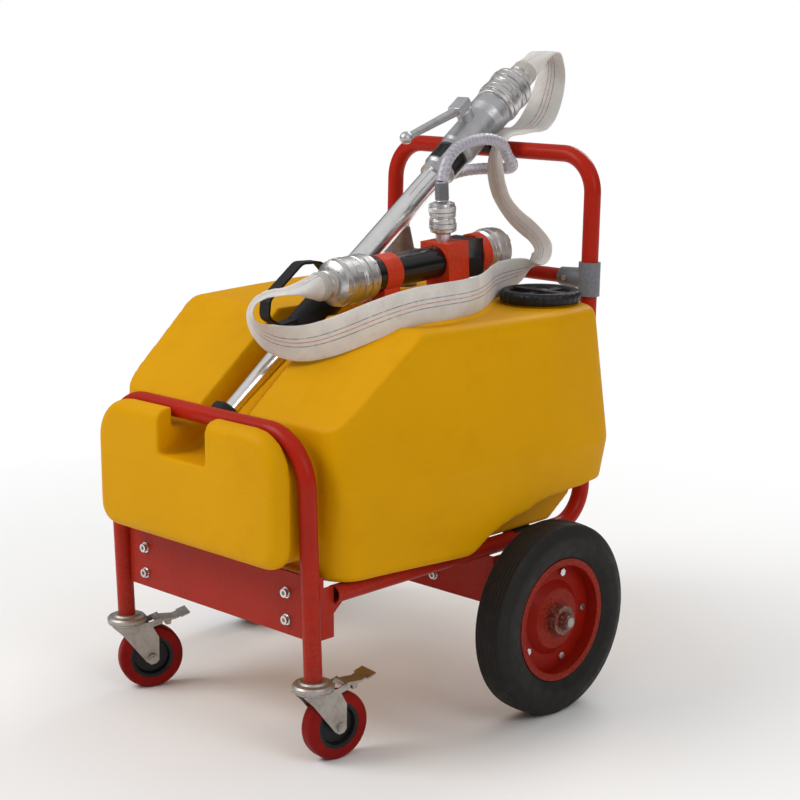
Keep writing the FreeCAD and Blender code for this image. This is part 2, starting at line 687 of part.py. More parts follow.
def tank_main(inset):
    low, parting, top = size("tank_low"), size("tank_parting"), size("tank_top")
    wires = [plan_wire(PLAN_LOW, low + inset, inset + 12),
             plan_wire(PLAN_LOW, low + 14, inset),
             plan_wire(PLAN_PARTING, parting, inset),
             plan_wire(PLAN_HIGH, top - 20, inset),
             plan_wire(PLAN_HIGH, top - 6 - 0.3 * inset, inset + 6),
             plan_wire(PLAN_HIGH, top - inset, inset + 20)]
    body = Part.makeLoft(wires, True, True)
    rise, slope_z, slope_y = size("slope_rise"), size("slope_low"), size("slope_y")
    drop = inset * math.hypot(1.0, rise)
    wedge = []
    for y, z in ((-60, None), (330, None), (-60, 1200)):
        wedge.append((-460, y, slope_z + rise * (y - slope_y) - drop if z is None else z))
    body = body.cut(polygon_prism(wedge, (920, 0, 0)))
    tuck = [(-460, 690 - inset, 300), (-460, 690 - inset, 347 + inset),
            (-460, 756 - inset, 392 + inset), (-460, 766 - inset, 420 + inset), (-460, 900, 420),
            (-460, 900, 300)]
    return body.cut(polygon_prism(tuck, (920, 0, 0)))


def wheel_arches(inset):
    """What is taken out of the tank's sides round and behind the wheels."""
    inner, radius = size("arch_inner_x") - inset, size("arch_radius") + inset
    shapes = []
    for side in (-1, 1):
        round_part = cylinder(radius, 200, (side * inner, size("axle_y"), size("tyre_radius")),
                              (side, 0, 0))
        edge = [(505, 300), (516, 426 + inset), (563, 438 + inset), (611, 441 + inset),
                (743, 449 + inset), (900, 455 + inset), (900, 300)]
        behind = polygon_prism([(side * inner, y, z) for y, z in edge], (side * 200, 0, 0))
        shapes.append(round_part.fuse(behind))
    return shapes


def rounded_panel(half, low, high, low_radius, high_radius, front, rear):
    """An upright panel with rounded corners, thick from front to rear."""
    slab = box((-half, front, low), (half, rear, high))
    for level, radius in ((low, low_radius), (high, high_radius)):
        picked = []
        for edge in slab.Edges:
            ends = [v.Point for v in edge.Vertexes]
            if len(ends) == 2 and all(abs(p.z - level) < 1e-6 for p in ends):
                if abs(abs(ends[0].y - ends[1].y) - (rear - front)) < 1e-6:
                    picked.append(edge)
        slab = slab.makeFillet(radius, picked)
    return slab


def tank_lobe(inset):
    """The bulge that stands out through the hoop and in front of it."""
    front, half = size("lobe_front") - inset, size("lobe_half_width") - inset
    low, high = size("lobe_low") + inset, size("lobe_top") - inset
    bulge = rounded_panel(half, low, high, 46 - inset, 84 - inset, -front, -36 - inset)
    rim = [edge for edge in bulge.Edges if all(abs(v.Y + front) < 1e-6 for v in edge.Vertexes)]
    bulge = bulge.makeFillet(24.0 - inset, rim)
    neck = rounded_panel(262 - inset, low + 2, 612 - inset, 44 - inset, 60 - inset,
                         -front + 26 - inset, 60)
    return bulge.fuse(neck)


def channel(inset):
    """The trough that the branchpipe lies in, from the front notch to the rear wall."""
    half, floor = size("channel_half_width") + inset, size("channel_floor") - inset
    notch = size("notch_floor") - inset
    side_view = [(-140, notch), (16, notch), (248, floor), (900, floor), (900, 900), (-140, 900)]
    return polygon_prism([(-half, y, z) for y, z in side_view], (2 * half, 0, 0))


def tank_form(inset):
    body = tank_main(inset).cut(wheel_arches(inset))
    body = body.fuse(tank_lobe(inset))
    return body.cut(channel(inset))


def tank_shell():
    wall = size("tank_wall")
    shell = tank_form(0.0).cut(tank_form(wall))
    mouth = (size("cap_x"), size("cap_y"), size("tank_top") - 40)
    shell = shell.cut(cylinder(size("neck_radius"), 60, mouth))
    shell = shell.cut(cylinder(12.05, 60, (SUCTION_X, SUCTION_Y, size("tank_top") - 40)))
    for spot_y in (INDUCTOR_FEET):
        for offset in (-32, 32):
            spot = (size("inductor_x") + offset, spot_y, size("tank_top") - 20)
            shell = shell.cut(cylinder(3.05, 40, spot))
    edge = size("channel_half_width") - 4
    sections = [shell.common(box((low, -200, 300), (high, 900, 900)))
                for low, high in ((-500, -edge), (-edge, edge), (edge, 500))]
    feature(Part.makeCompound([s for one in sections for s in one.Solids]), "tank_shell",
            Placement(from_hoop(0, 0, 0), Rotation()))


SUCTION_X, SUCTION_Y = -105.0, 650.0
INDUCTOR_FEET = (379.0, 565.0)


def tank_pads():
    """Saddles between the side rails and the tank's floor."""
    low, rail = size("tank_low"), size("rail_height")
    bore, half = size("frame_tube_dia") / 2 + 0.02, size("handle_half_width")
    shapes = []
    for side in (-1, 1):
        for y in (130.0, 330.0, 600.0):
            x = side * (half - 8)
            block = box((x - 18, y - 30, rail + 8), (x + 18, y + 30, low))
            shapes.append(block.cut(cylinder(bore, 200, (side * half, y - 100, rail), (0, 1, 0))))
    feature(Part.makeCompound(shapes), "tank_pads", Placement(from_hoop(0, 0, 0), Rotation()))


def filler():
    """Neck, cap and seal of the filling hole; the cap's thread is drawn as a running fit."""
    top, neck = size("tank_top"), size("neck_radius")
    base = from_hoop(size("cap_x"), size("cap_y"), top)
    collar = lathe([(neck - 6, -14), (neck - 6, 16), (neck, 16), (neck, 3), (neck + 12, 3),
                    (neck + 12, 0), (neck, 0), (neck, -14)])
    feature(collar, "filler_neck", Placement(base, Rotation()))
    radius, high = size("cap_radius"), size("cap_height")
    profile = [(neck + 0.08, 4.0), (radius - 3, 4.0), (radius, 7), (radius, high - 5),
               (radius - 5, high), (radius - 19, high), (radius - 24, high - 6), (0, high - 6),
               (0, 19.0), (neck + 0.08, 19.0)]
    cap = lathe(profile)
    bar = box((-(radius - 22), -8, high - 7), (radius - 22, 8, high))
    cap = fused([cap, bar])
    for flute in around_z(cylinder(4.5, 60, (radius + 2.2, 0, -10)), 24):
        cap = cap.cut(flute)
    feature(cap, "filler_cap", Placement(base, Rotation()))
    seal = ring(neck, neck - 6, 3.0, (0, 0, 16.0))
    feature(seal, "cap_seal", Placement(base, Rotation()))


def suction_outlet():
    """Elbow on the tank, its dip tube and the strainer at the foot."""
    top, low = size("tank_top"), size("tank_low") + size("tank_wall")
    base = from_hoop(SUCTION_X, SUCTION_Y, top)
    fitting = lathe([(9, 0), (30, 0), (30, 6), (20, 8), (20, 62), (26, 66), (26, 74), (15, 130),
                     (9, 130)])
    feature(fitting, "suction_fitting", Placement(base, Rotation()))
    dip = doc.addObject("Part::Feature", "dip_tube")
    dip.Shape = ring(12.0, 9.0, top - low - 34, (0, 0, -(top - low - 34)))
    keep(dip, "dip_tube", Placement(base, Rotation()))
    foot = lathe([(12.05, 60), (24, 60), (24, 4), (0, 4), (0, 7), (21, 7), (21, 57), (12.05, 57)])
    for level in (16, 28, 40):
        for slot in around_z(box((10, -3, level), (30, 3, level + 8)), 8):
            foot = foot.cut(slot)
    feature(foot, "foot_strainer", Placement(from_hoop(SUCTION_X, SUCTION_Y, low - 4), Rotation()))


# ---------------------------------------------------------------- branchpipe

def pipe_axis():
    angle = math.radians(size("pipe_angle"))
    return Vector(0, math.cos(angle), math.sin(angle))


def on_pipe(shape, label):
    """Stands a piece drawn round local Z on the branchpipe's axis; local Y points down-right."""
    place = Placement(from_hoop(0, size("pipe_y"), size("pipe_z")), turn_to(pipe_axis()))
    return feature(shape, label, place)


def barrel_radius(station):
    return min(size("pipe_radius"), size("pipe_tip_radius") + 0.2 + 0.0315 * max(station, 0))


def pipe_barrel():
    wall, end = size("pipe_wall"), size("pipe_end")
    stations = (-60, 0, 150, 295, end - 8)
    outer = [(barrel_radius(t), t) for t in stations]
    outer += [(29.0, end - 8), (29.0, end)]
    inner = [(barrel_radius(end) - wall, end)]
    inner += [(barrel_radius(t) - wall, t) for t in reversed(stations[:-1])]
    on_pipe(lathe(outer + inner), "pipe_barrel")


def pipe_tip():
    tip = barrel_radius(-60)
    profile = [(tip + 0.0, -60), (tip + 0.0, -30), (26, -30), (33, -36), (33, -66), (tip - 2, -66),
               (tip - 2, -60)]
    on_pipe(lathe(profile), "pipe_tip_bumper")


def grip_sleeve():
    inner = [(barrel_radius(t), t) for t in (345, 295, 200)]
    outer = [(31, 200), (35, 206), (35, 339), (31, 345)]
    on_pipe(lathe(outer + inner), "grip_sleeve")


LOOP = [(212, 26), (165, 50), (150, 85), (175, 112), (285, 112), (325, 80), (333, 26)]


def carry_loop():
    """A stiff strap bent into a hand loop above the grip."""
    path = tangent_path([(0, -n, t) for t, n in LOOP], [20, 18, 20, 26, 22])
    start = path.Edges[0]
    at = start.valueAt(start.FirstParameter)
    along = start.tangentAt(start.FirstParameter)
    across = along.cross(Vector(1, 0, 0)).normalize()
    corners = []
    for wide, deep in ((-14, -2.5), (14, -2.5), (14, 2.5), (-14, 2.5)):
        corners.append(at + Vector(wide, 0, 0) + across * deep)
    section = Part.makePolygon(corners + [corners[0]])
    loop = path.makePipeShell([section], True, True)
    loop = loop.cut(cylinder(35.0, 200, (0, 0, 180)))
    on_pipe(loop, "carry_loop")


BALL_AT = 849.0


def pipe_head():
    """Foam head: slotted air section, ball-valve body and inlet flange, in one casting."""
    end = size("pipe_end")
    profile = [(barrel_radius(end), 690), (32.5, 690), (32.5, 708), (37, 714), (37, 776), (40, 784), (40, 880),
               (45, 900), (45, 925), (15, 925), (15, 775), (29.0, 775), (29.0, end - 8),
               (barrel_radius(end), end - 8)]
    head = lathe(profile)
    for slot in around_z(box((10, -17, end + 6), (60, 17, 766)), 4):
        head = head.cut(slot)
    boss = cylinder(16.0, 52, (0, 0, BALL_AT), (0, -1, 0)).cut(cylinder(15.0, 400, (0, 0, 700)))
    head = fused([head, boss])
    head = head.cut(Part.makeSphere(22.05, Vector(0, 0, BALL_AT)))
    head = head.cut(cylinder(6.05, 80, (0, 0, BALL_AT), (0, -1, 0)))
    on_pipe(head, "pipe_head")


def jet_insert():
    """Water jet pressed in the head just before the air slots."""
    on_pipe(lathe([(15, 775), (15, 800), (11, 800), (6, 772), (6, 762), (9, 762), (22, 772),
                   (22, 775)]), "jet_insert")


def valve_parts():
    ball = Part.makeSphere(22.0, Vector(0, 0, BALL_AT))
    ball = ball.cut(cylinder(14.0, 80, (0, 0, BALL_AT - 40)))
    stem = cylinder(6.0, 52, (0, -18, BALL_AT), (0, -1, 0)).cut(cylinder(14.0, 80, (0, 0, BALL_AT - 40)))
    on_pipe(fused([ball, stem]), "valve_ball")
    hub = cylinder(15.0, 16, (0, -54, BALL_AT), (0, -1, 0))
    arm = [(-54, BALL_AT - 4), (-70, BALL_AT - 4), (-108, 700), (-110, 660), (-104, 660),
           (-101, 700), (-60, BALL_AT - 20)]
    blade = polygon_prism([(-9, y, t) for y, t in arm], (18, 0, 0))
    lever = fused([hub, blade]).cut(cylinder(6.0, 80, (0, 0, BALL_AT), (0, -1, 0)))
    on_pipe(lever, "valve_lever")
    knob = lathe([(0, 0), (9, 0), (13, 5), (13, 14), (8, 20), (0, 20)])
    knob.Placement = Placement(Vector(0, -109.8, 678), Rotation(Vector(1, 0, 0), 90))
    on_pipe(knob.cut(solid_blade(arm)), "valve_knob")


def solid_blade(outline):
    return polygon_prism([(-9, y, t) for y, t in outline], (18, 0, 0))


def coupling_half(outer, deep, bore, neck, neck_length):
    """A claw coupling half: face at 0, body up to deep, then a neck; two lugs on the face side."""
    body = lathe([(bore, 0), (outer - 9, 0), (outer - 9, 0.2 * deep), (outer, 0.24 * deep),
                  (outer, 0.78 * deep), (outer - 8, deep), (neck, deep),
                  (neck, deep + neck_length), (bore, deep + neck_length)])
    ribs = [body]
    for rib in around_z(box((outer - 6, -6, 0.24 * deep), (outer + 3, 6, 0.76 * deep)), 3, 30):
        ribs.append(rib)
    return fused(ribs)


def pipe_couplings():
    outer, deep = size("storz_radius"), size("storz_depth")
    fixed = coupling_half(outer, deep + 1, 20.0, 42.0, 1.0).cut(
        cylinder(60, 10, (0, 0, deep + 1)))
    fixed.rotate(Vector(), Vector(1, 0, 0), 180)
    fixed.translate(Vector(0, 0, 925 + deep + 1))
    on_pipe(fixed, "pipe_coupling")
    hose = coupling_half(outer, deep, 20.0, 27.0, 42.0)
    hose.translate(Vector(0, 0, 926 + deep))
    on_pipe(hose, "hose_coupling_top")


def pipe_supports():
    """Cradle in the trough under the grip, and a pad between the handle bar and the head."""
    wedge = box((-22, 20, 235), (22, 80, 275)).cut(cylinder(35.0, 400, (0, 0, 0)))
    place = Placement(from_hoop(0, size("pipe_y"), size("pipe_z")), turn_to(pipe_axis()))
    wedge.Placement = place
    trough = channel(0.0)
    trough.translate(from_hoop(0, 0, 0))
    pad = box((-20, 30, 850), (20, 60, 886))
    pad = pad.cut(cylinder(40.0, 400, (0, 0, 600)))
    pad.Placement = place
    bar = cylinder(size("frame_tube_dia") / 2, 200,
                   (-100, size("handle_reach"), size("handle_top")), (1, 0, 0))
    bar.translate(from_hoop(0, 0, 0))
    both = Part.makeCompound([wedge.common(trough), pad.cut(bar)])
    feature(both, "pipe_supports", Placement())


# ---------------------------------------------------------------- inductor

def on_inductor(shape, label):
    """Stands a piece on the inductor's axis; local Z runs from outlet to inlet, local Y down."""
    angle = math.radians(size("inductor_angle"))
    axis = Vector(0, math.cos(angle), math.sin(angle))
    base = from_hoop(size("inductor_x"), size("inductor_y"), size("inductor_z"))
    return feature(shape, label, Placement(base, turn_to(axis)))


def inductor_barrel():
    """Venturi body from the outlet collar to the inlet flange."""
    radius = size("inductor_radius")
    outer = [(38, 68), (38, 86.7), (radius, 86.7), (radius, 326), (38, 326), (38, 373)]
    inner = [(22, 373), (22, 326), (9, 280), (9, 262), (20, 120), (20, 68)]
    body = lathe(outer + inner)
    body = fused([body, box((-39, -39, 326), (39, 39, 373)).cut(cylinder(38.0, 80, (0, 0, 310)))])
    body = body.cut(cylinder(6.05, 60, (0, 0, PICKUP_AT), (0, -1, 0)))
    on_inductor(body, "inductor_barrel")


PICKUP_AT = 292.0


def inductor_clamps():
    """Two cast clamps that stand the inductor on the tank."""
    radius = size("inductor_radius")
    front = cylinder(39.0, 46.0, (0, 0, 87))
    foot = box((-26, 0, 87), (26, 90, 133))
    base = box((-37, 60, 87), (37, 90, 133))
    drop = tank_top_under_inductor()
    front = fused([front, foot, base]).cut(cylinder(radius, 80, (0, 0, 70))).cut(drop)
    front = front.cut(foot_holes(110))
    on_inductor(front, "clamp_front")
    rear = box((-40, -40, 264), (40, 40, 326))
    foot = box((-26, 0, 264), (26, 90, 326))
    base = box((-37, 60, 264), (37, 90, 326))
    rear = fused([rear, foot, base]).cut(cylinder(radius, 80, (0, 0, 255))).cut(drop)
    rear = rear.cut(cylinder(10.0, 60, (0, 0, PICKUP_AT), (0, -1, 0))).cut(foot_holes(295))
    on_inductor(rear, "clamp_rear")


def local_to_inductor(shape):
    """Moves a shape given in the part's frame into the inductor's own frame."""
    angle = math.radians(size("inductor_angle"))
    axis = Vector(0, math.cos(angle), math.sin(angle))
    base = from_hoop(size("inductor_x"), size("inductor_y"), size("inductor_z"))
    moved = shape.copy()
    moved.Placement = Placement(base, turn_to(axis)).inverse().multiply(moved.Placement)
    return moved


def tank_top_under_inductor():
    top = size("tank_top")
    low, high = from_hoop(-200, 100, top - 60), from_hoop(400, 900, top)
    return local_to_inductor(box((low.x, low.y, low.z), (high.x, high.y, high.z)))


def foot_holes(station):
    """Screw holes for one clamp's base, upright in the part's frame."""
    spot_y = INDUCTOR_FEET[0] if station < 200 else INDUCTOR_FEET[1]
    holes = []
    for offset in (-32, 32):
        spot = from_hoop(size("inductor_x") + offset, spot_y, size("tank_top") - 10)
        holes.append(local_to_inductor(cylinder(3.05, 60, (spot.x, spot.y, spot.z))))
    return holes[0].fuse(holes[1])


def inlet_parts():
    flange = lathe([(22, 373), (44, 373), (44, 399), (30, 399), (30, 412), (22, 412)])
    on_inductor(flange, "inlet_flange")
    outer = size("storz_radius")
    claw = coupling_half(outer, 58.0, 22.0, 38.0, 1.0).cut(cylinder(60, 10, (0, 0, 58.0)))
    claw.rotate(Vector(), Vector(1, 0, 0), 180)
    claw.translate(Vector(0, 0, 458))
    on_inductor(claw.cut(cylinder(30.05, 12.6, (0, 0, 400))), "inlet_coupling")


def outlet_parts():
    outer = size("storz_radius")
    fixed = coupling_half(outer, 51.0, 20.0, 38.0, 1.0).cut(cylinder(60, 10, (0, 0, 51.0)))
    fixed.translate(Vector(0, 0, 17))
    on_inductor(fixed, "outlet_coupling")
    hose = coupling_half(outer, 56.0, 20.0, 27.0, 33.0)
    hose.rotate(Vector(), Vector(1, 0, 0), 180)
    hose.translate(Vector(0, 0, 17))
    on_inductor(hose, "hose_coupling_low")


def pickup_parts():
    """Foam pick-up on top of the inductor: stub, fixed coupling half and hose-side half."""
    outer = size("small_storz_radius")
    stub = ring(10.0, 6.0, 21.0, (0, 0, 34.0))
    stub = stub.cut(cylinder(size("inductor_radius"), 80, (0, -40, 0), (0, 1, 0)))
    fixed = coupling_half(outer, 35.0, 6.0, 16.0, 1.0).cut(cylinder(60, 10, (0, 0, 35.0)))
    fixed.rotate(Vector(), Vector(1, 0, 0), 180)
    fixed.translate(Vector(0, 0, 90))
    hose = coupling_half(outer, 35.0, 6.0, 13.0, 40.0)
    hose.translate(Vector(0, 0, 90))
    for shape, label in ((fused([stub, fixed]), "pickup_coupling"), (hose, "suction_coupling")):
        shape.rotate(Vector(), Vector(1, 0, 0), 90)
        shape.translate(Vector(0, 0, PICKUP_AT))
        on_inductor(shape, label)


# ---------------------------------------------------------------- hoses

DELIVERY_ROUTE = [
    (100, 198.1, 881.5), (100, 172, 881), (98, 148, 880), (91, 124, 879), (78, 104, 878),
    (61, 88, 872), (46, 77, 857), (39, 74, 834), (43, 82, 811), (57, 95, 793), (81, 110, 781),
    (118, 129, 778), (158, 150, 787), (202, 177, 806), (252, 216, 834), (294, 270, 856),
    (312, 338, 860), (305, 412, 858), (280, 480, 858), (243, 540, 858), (208, 592, 858),
    (180, 645, 858), (168, 695, 860), (172, 738, 866), (188, 768, 884), (190, 778, 914),
    (160, 779, 944), (118, 778, 966), (84, 776, 995), (62, 774, 1032), (54, 772, 1072),
    (54, 776, 1112), (56, 798, 1146), (55, 842, 1154), (46, 888, 1152), (30, 932, 1162),
    (13, 978, 1188), (2, 1012, 1230), (-3, 1030, 1272), (-3, 1024, 1310), (0, 998, 1321),
    (0, 966, 1301), (0, 934.3, 1277.3)]

SUCTION_ROUTE = [
    (100, 553.7, 1064), (100, 560, 1090), (100, 580, 1118), (100, 616, 1138), (100, 664, 1146),
    (101, 712, 1144), (103, 744, 1130), (102, 757, 1106), (102, 774, 1090), (86, 794, 1076),
    (48, 800, 1072), (0, 790, 1070), (-46, 771, 1063), (-84, 740, 1043), (-104, 701, 1015),
    (-106, 664, 986), (-105, 650, 945)]


def route_radii(points):
    """Corner radii that use most of the shorter run on either side."""
    radii = []
    for index in range(1, len(points) - 1):
        corner = Vector(*points[index])
        back = Vector(*points[index - 1]) - corner
        ahead = Vector(*points[index + 1]) - corner
        turn = math.pi - back.getAngle(ahead)
        radii.append(0.45 * min(back.Length, ahead.Length) / math.tan(turn / 2))
    return radii


def hose(label, route, diameter):
    radii = route_radii(route)
    path = tangent_path(route, radii)
    tube = swept(path, diameter / 2)
    section = math.pi * diameter * diameter / 4
    print("%s: length %.0f, volume / (section x length) %.3f, least radius %.0f"
          % (label, path.Length, tube.Volume / (section * path.Length), min(radii)))
    print("  radii", " ".join("%.0f" % radius for radius in radii))
    feature(tube, label, Placement(from_hoop(0, 0, 0), Rotation()))


# ---------------------------------------------------------------- build and export

front_hoop()
front_cross_plate()
rail_brackets()
chassis_tube()
handle_crossbar()
tee_clamps()
rear_cross_plate()
frame_bolts()
axle_shaft()
axle_spacers()
axle_nuts()
rear_wheels()
castors()
tank_shell()
tank_pads()
filler()
suction_outlet()
pipe_barrel()
pipe_tip()
grip_sleeve()
carry_loop()
pipe_head()
jet_insert()
valve_parts()
pipe_couplings()
pipe_supports()
inductor_barrel()
inductor_clamps()
inlet_parts()
outlet_parts()
pickup_parts()
hose("delivery_hose", DELIVERY_ROUTE, size("hose_dia"))
hose("suction_hose", SUCTION_ROUTE, size("suction_dia"))

doc.recompute()
for item in doc.Objects:
    if "Invalid" in item.State or "Error" in item.State:
        raise SystemExit("%s did not build: %s" % (item.Name, item.State))
whole = FreeCAD.BoundBox()
for node in nodes:
    shape = node.Shape
    if shape.isNull() or not shape.isValid() or not shape.Solids:
        raise SystemExit("%s has no valid solid" % node.Label)
    shape.exportStep("parts/%s.step" % node.Label)
    whole.add(shape.BoundBox)
    b = shape.BoundBox
    print("%-20s %2d solid(s) %9.0f mm3  x %.0f %.0f  y %.0f %.0f  z %.1f %.1f" % (
        node.Label, len(shape.Solids), shape.Volume, b.XMin, b.XMax, b.YMin, b.YMax, b.ZMin, b.ZMax))
print("%d pieces, x %.1f %.1f, y %.1f %.1f, z %.1f %.1f" % (
    len(nodes), whole.XMin, whole.XMax, whole.YMin, whole.YMax, whole.ZMin, whole.ZMax))
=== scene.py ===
import math
import bmesh
import bpy
from mathutils import Matrix, Vector, noise

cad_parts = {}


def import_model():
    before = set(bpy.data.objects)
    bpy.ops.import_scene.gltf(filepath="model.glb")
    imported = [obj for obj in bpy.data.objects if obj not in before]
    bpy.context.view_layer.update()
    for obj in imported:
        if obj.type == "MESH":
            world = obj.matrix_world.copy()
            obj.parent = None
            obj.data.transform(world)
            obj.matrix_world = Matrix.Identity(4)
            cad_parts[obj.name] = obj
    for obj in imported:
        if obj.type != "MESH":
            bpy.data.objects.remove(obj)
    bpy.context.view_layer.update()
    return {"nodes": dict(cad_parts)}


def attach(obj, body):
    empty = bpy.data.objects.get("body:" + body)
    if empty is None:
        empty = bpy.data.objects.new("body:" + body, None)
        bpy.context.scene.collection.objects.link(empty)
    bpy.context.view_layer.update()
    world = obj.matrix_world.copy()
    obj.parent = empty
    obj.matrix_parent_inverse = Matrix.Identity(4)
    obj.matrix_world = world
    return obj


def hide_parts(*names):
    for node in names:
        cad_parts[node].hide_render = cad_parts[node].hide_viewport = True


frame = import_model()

NODES = frame["nodes"]
HOOP = 0.437            # how far the front hoop stands ahead of the frame's origin
SEAM = 0.067            # where the tank's three CAD solids touch


def at(x, y, z):
    """A point given in millimetres from the front hoop's feet, in the row frame."""
    return Vector((x / 1000, y / 1000 - HOOP, z / 1000))


# ------------------------------------------------------------------ materials

class Nodes:
    """A material's node tree with short calls for the nodes used here."""

    def __init__(self, name):
        self.material = bpy.data.materials.new(name)
        self.material.use_nodes = True
        self.tree = self.material.node_tree
        self.shader = self.tree.nodes["Principled BSDF"]
        self.coords = self.tree.nodes.new("ShaderNodeTexCoord").outputs["Object"]

    def link(self, a, b):
        self.tree.links.new(a, b)

    def set(self, **values):
        for key, value in values.items():
            self.shader.inputs[key.replace("_", " ")].default_value = value

    def noise(self, scale, detail=3.0, rough=0.5, coords=None):
        node = self.tree.nodes.new("ShaderNodeTexNoise")
        node.inputs["Scale"].default_value = scale
        node.inputs["Detail"].default_value = detail
        node.inputs["Roughness"].default_value = rough
        self.link(coords or self.coords, node.inputs["Vector"])
        return node.outputs["Fac"]

    def mapped(self, coords, scale, turn=(0, 0, 0)):
        node = self.tree.nodes.new("ShaderNodeMapping")
        node.inputs["Scale"].default_value = scale
        node.inputs["Rotation"].default_value = turn
        self.link(coords, node.inputs["Vector"])
        return node.outputs["Vector"]

    def math(self, kind, a, b=None):
        node = self.tree.nodes.new("ShaderNodeMath")
        node.operation = kind
        for index, value in enumerate((a, b)):
            if value is None:
                continue
            if isinstance(value, (int, float)):
                node.inputs[index].default_value = value
            else:
                self.link(value, node.inputs[index])
        return node.outputs[0]

    def ramp(self, value, low, high, out_low=0.0, out_high=1.0):
        node = self.tree.nodes.new("ShaderNodeMapRange")
        node.inputs["From Min"].default_value = low
        node.inputs["From Max"].default_value = high
        node.inputs["To Min"].default_value = out_low
        node.inputs["To Max"].default_value = out_high
        self.link(value, node.inputs["Value"])
        return node.outputs["Result"]

    def mix(self, factor, a, b):
        node = self.tree.nodes.new("ShaderNodeMix")
        node.data_type = "RGBA"
        for socket, value in ((node.inputs[0], factor), (node.inputs[6], a), (node.inputs[7], b)):
            if isinstance(value, (int, float)):
                socket.default_value = value
            elif isinstance(value, tuple):
                socket.default_value = value + (1.0,) if len(value) == 3 else value
            else:
                self.link(value, socket)
        return node.outputs[2]

    def bump(self, height, strength, distance=0.001):
        node = self.tree.nodes.new("ShaderNodeBump")
        node.inputs["Strength"].default_value = strength
        node.inputs["Distance"].default_value = distance
        self.link(height, node.inputs["Height"])
        self.link(node.outputs["Normal"], self.shader.inputs["Normal"])

    def color(self, value):
        self.link(value, self.shader.inputs["Base Color"])

    def rough(self, value):
        self.link(value, self.shader.inputs["Roughness"])

    def split(self, coords):
        node = self.tree.nodes.new("ShaderNodeSeparateXYZ")
        self.link(coords, node.inputs[0])
        return node.outputs

    def pointy(self, low, high):
        """1 on sharp outer edges, for wear."""
        geo = self.tree.nodes.new("ShaderNodeNewGeometry")
        return self.ramp(geo.outputs["Pointiness"], low, high)


def shade(color, by):
    return tuple(min(1.0, c * by) for c in color)


def plain(name, color, rough, spread=0.12, mottle=9.0, grain=500.0, grain_depth=0.05,
          rough_spread=0.08, wear=None, dirt=None, **sockets):
    """Mottled colour, uneven gloss and a fine grain; wear brightens edges, dirt darkens patches."""
    m = Nodes(name)
    m.set(**sockets)
    broad = m.noise(mottle, 4.0)
    tone = m.mix(m.ramp(broad, 0.3, 0.7), shade(color, 1 - spread), shade(color, 1 + spread))
    if dirt:
        patches = m.ramp(m.noise(mottle * 3.1, 6.0, 0.65), 0.52, 0.78)
        tone = m.mix(m.math("MULTIPLY", patches, dirt[1]), tone, dirt[0])
    if wear:
        edge = m.math("MULTIPLY", m.pointy(0.54, 0.60), m.ramp(m.noise(160, 3.0), 0.42, 0.6))
        tone = m.mix(m.math("MULTIPLY", edge, wear[1]), tone, wear[0])
    m.color(tone)
    m.rough(m.ramp(m.noise(mottle * 5, 3.0), 0.3, 0.7, rough - rough_spread, rough + rough_spread))
    m.bump(m.noise(grain, 2.0), grain_depth)
    return m


def tank_material():
    """Rotomoulded polythene: satin, faintly pebbled, a seam ridge round its widest level."""
    m = plain("moulded_yellow", (0.70, 0.335, 0.0), 0.5, 0.05, 3.0, 700, 0.06, 0.05,
              dirt=((0.48, 0.2, 0.0), 0.22), Specular_IOR_Level=0.07)
    height = m.split(m.coords)[2]
    off = m.math("ABSOLUTE", m.math("SUBTRACT", height, 0.535))
    seam = m.ramp(off, 0.0, 0.004, 1.0, 0.0)
    pebble = m.math("MULTIPLY", m.noise(420, 2.0), 0.35)
    wave = m.math("MULTIPLY", m.noise(14, 2.0), 1.2)
    m.bump(m.math("ADD", m.math("ADD", seam, pebble), wave), 0.35, 0.0016)
    return m.material


def woven_material():
    """Layflat hose jacket: white weave, worn grey, with three woven marker lines."""
    m = Nodes("woven_jacket")
    m.set(Specular_IOR_Level=0.3, Sheen_Weight=0.25, Sheen_Roughness=0.6)
    uv = m.tree.nodes.new("ShaderNodeUVMap").outputs["UV"]
    across, along, _ = m.split(uv)
    base = m.mix(m.ramp(m.noise(16, 5.0, 0.6), 0.35, 0.7), (0.80, 0.77, 0.72), (0.66, 0.62, 0.58))
    base = m.mix(m.math("MULTIPLY", m.ramp(m.noise(55, 6.0, 0.7), 0.55, 0.8), 0.5), base,
                 (0.46, 0.42, 0.37))
    for centre, half, ink in ((-0.0085, 0.0008, (0.10, 0.11, 0.20)), (0.0, 0.0008, (0.50, 0.07, 0.06)),
                              (0.0085, 0.0008, (0.10, 0.11, 0.20))):
        off = m.math("ABSOLUTE", m.math("SUBTRACT", across, centre + 0.002))
        line = m.ramp(off, half * 0.6, half * 1.7, 1.0, 0.0)
        worn = m.ramp(m.noise(90, 3.0), 0.3, 0.6, 0.35, 0.85)
        base = m.mix(m.math("MULTIPLY", line, worn), base, ink)
    m.color(base)
    m.set(Roughness=0.78)
    warp = m.math("SINE", m.math("MULTIPLY", across, 2 * math.pi / 0.0016))
    weft = m.math("SINE", m.math("MULTIPLY", along, 2 * math.pi / 0.0021))
    weave = m.math("MULTIPLY", warp, weft)
    crease = m.math("MULTIPLY", m.noise(60, 4.0), 1.5)
    m.bump(m.math("ADD", weave, crease), 0.45, 0.0006)
    return m.material


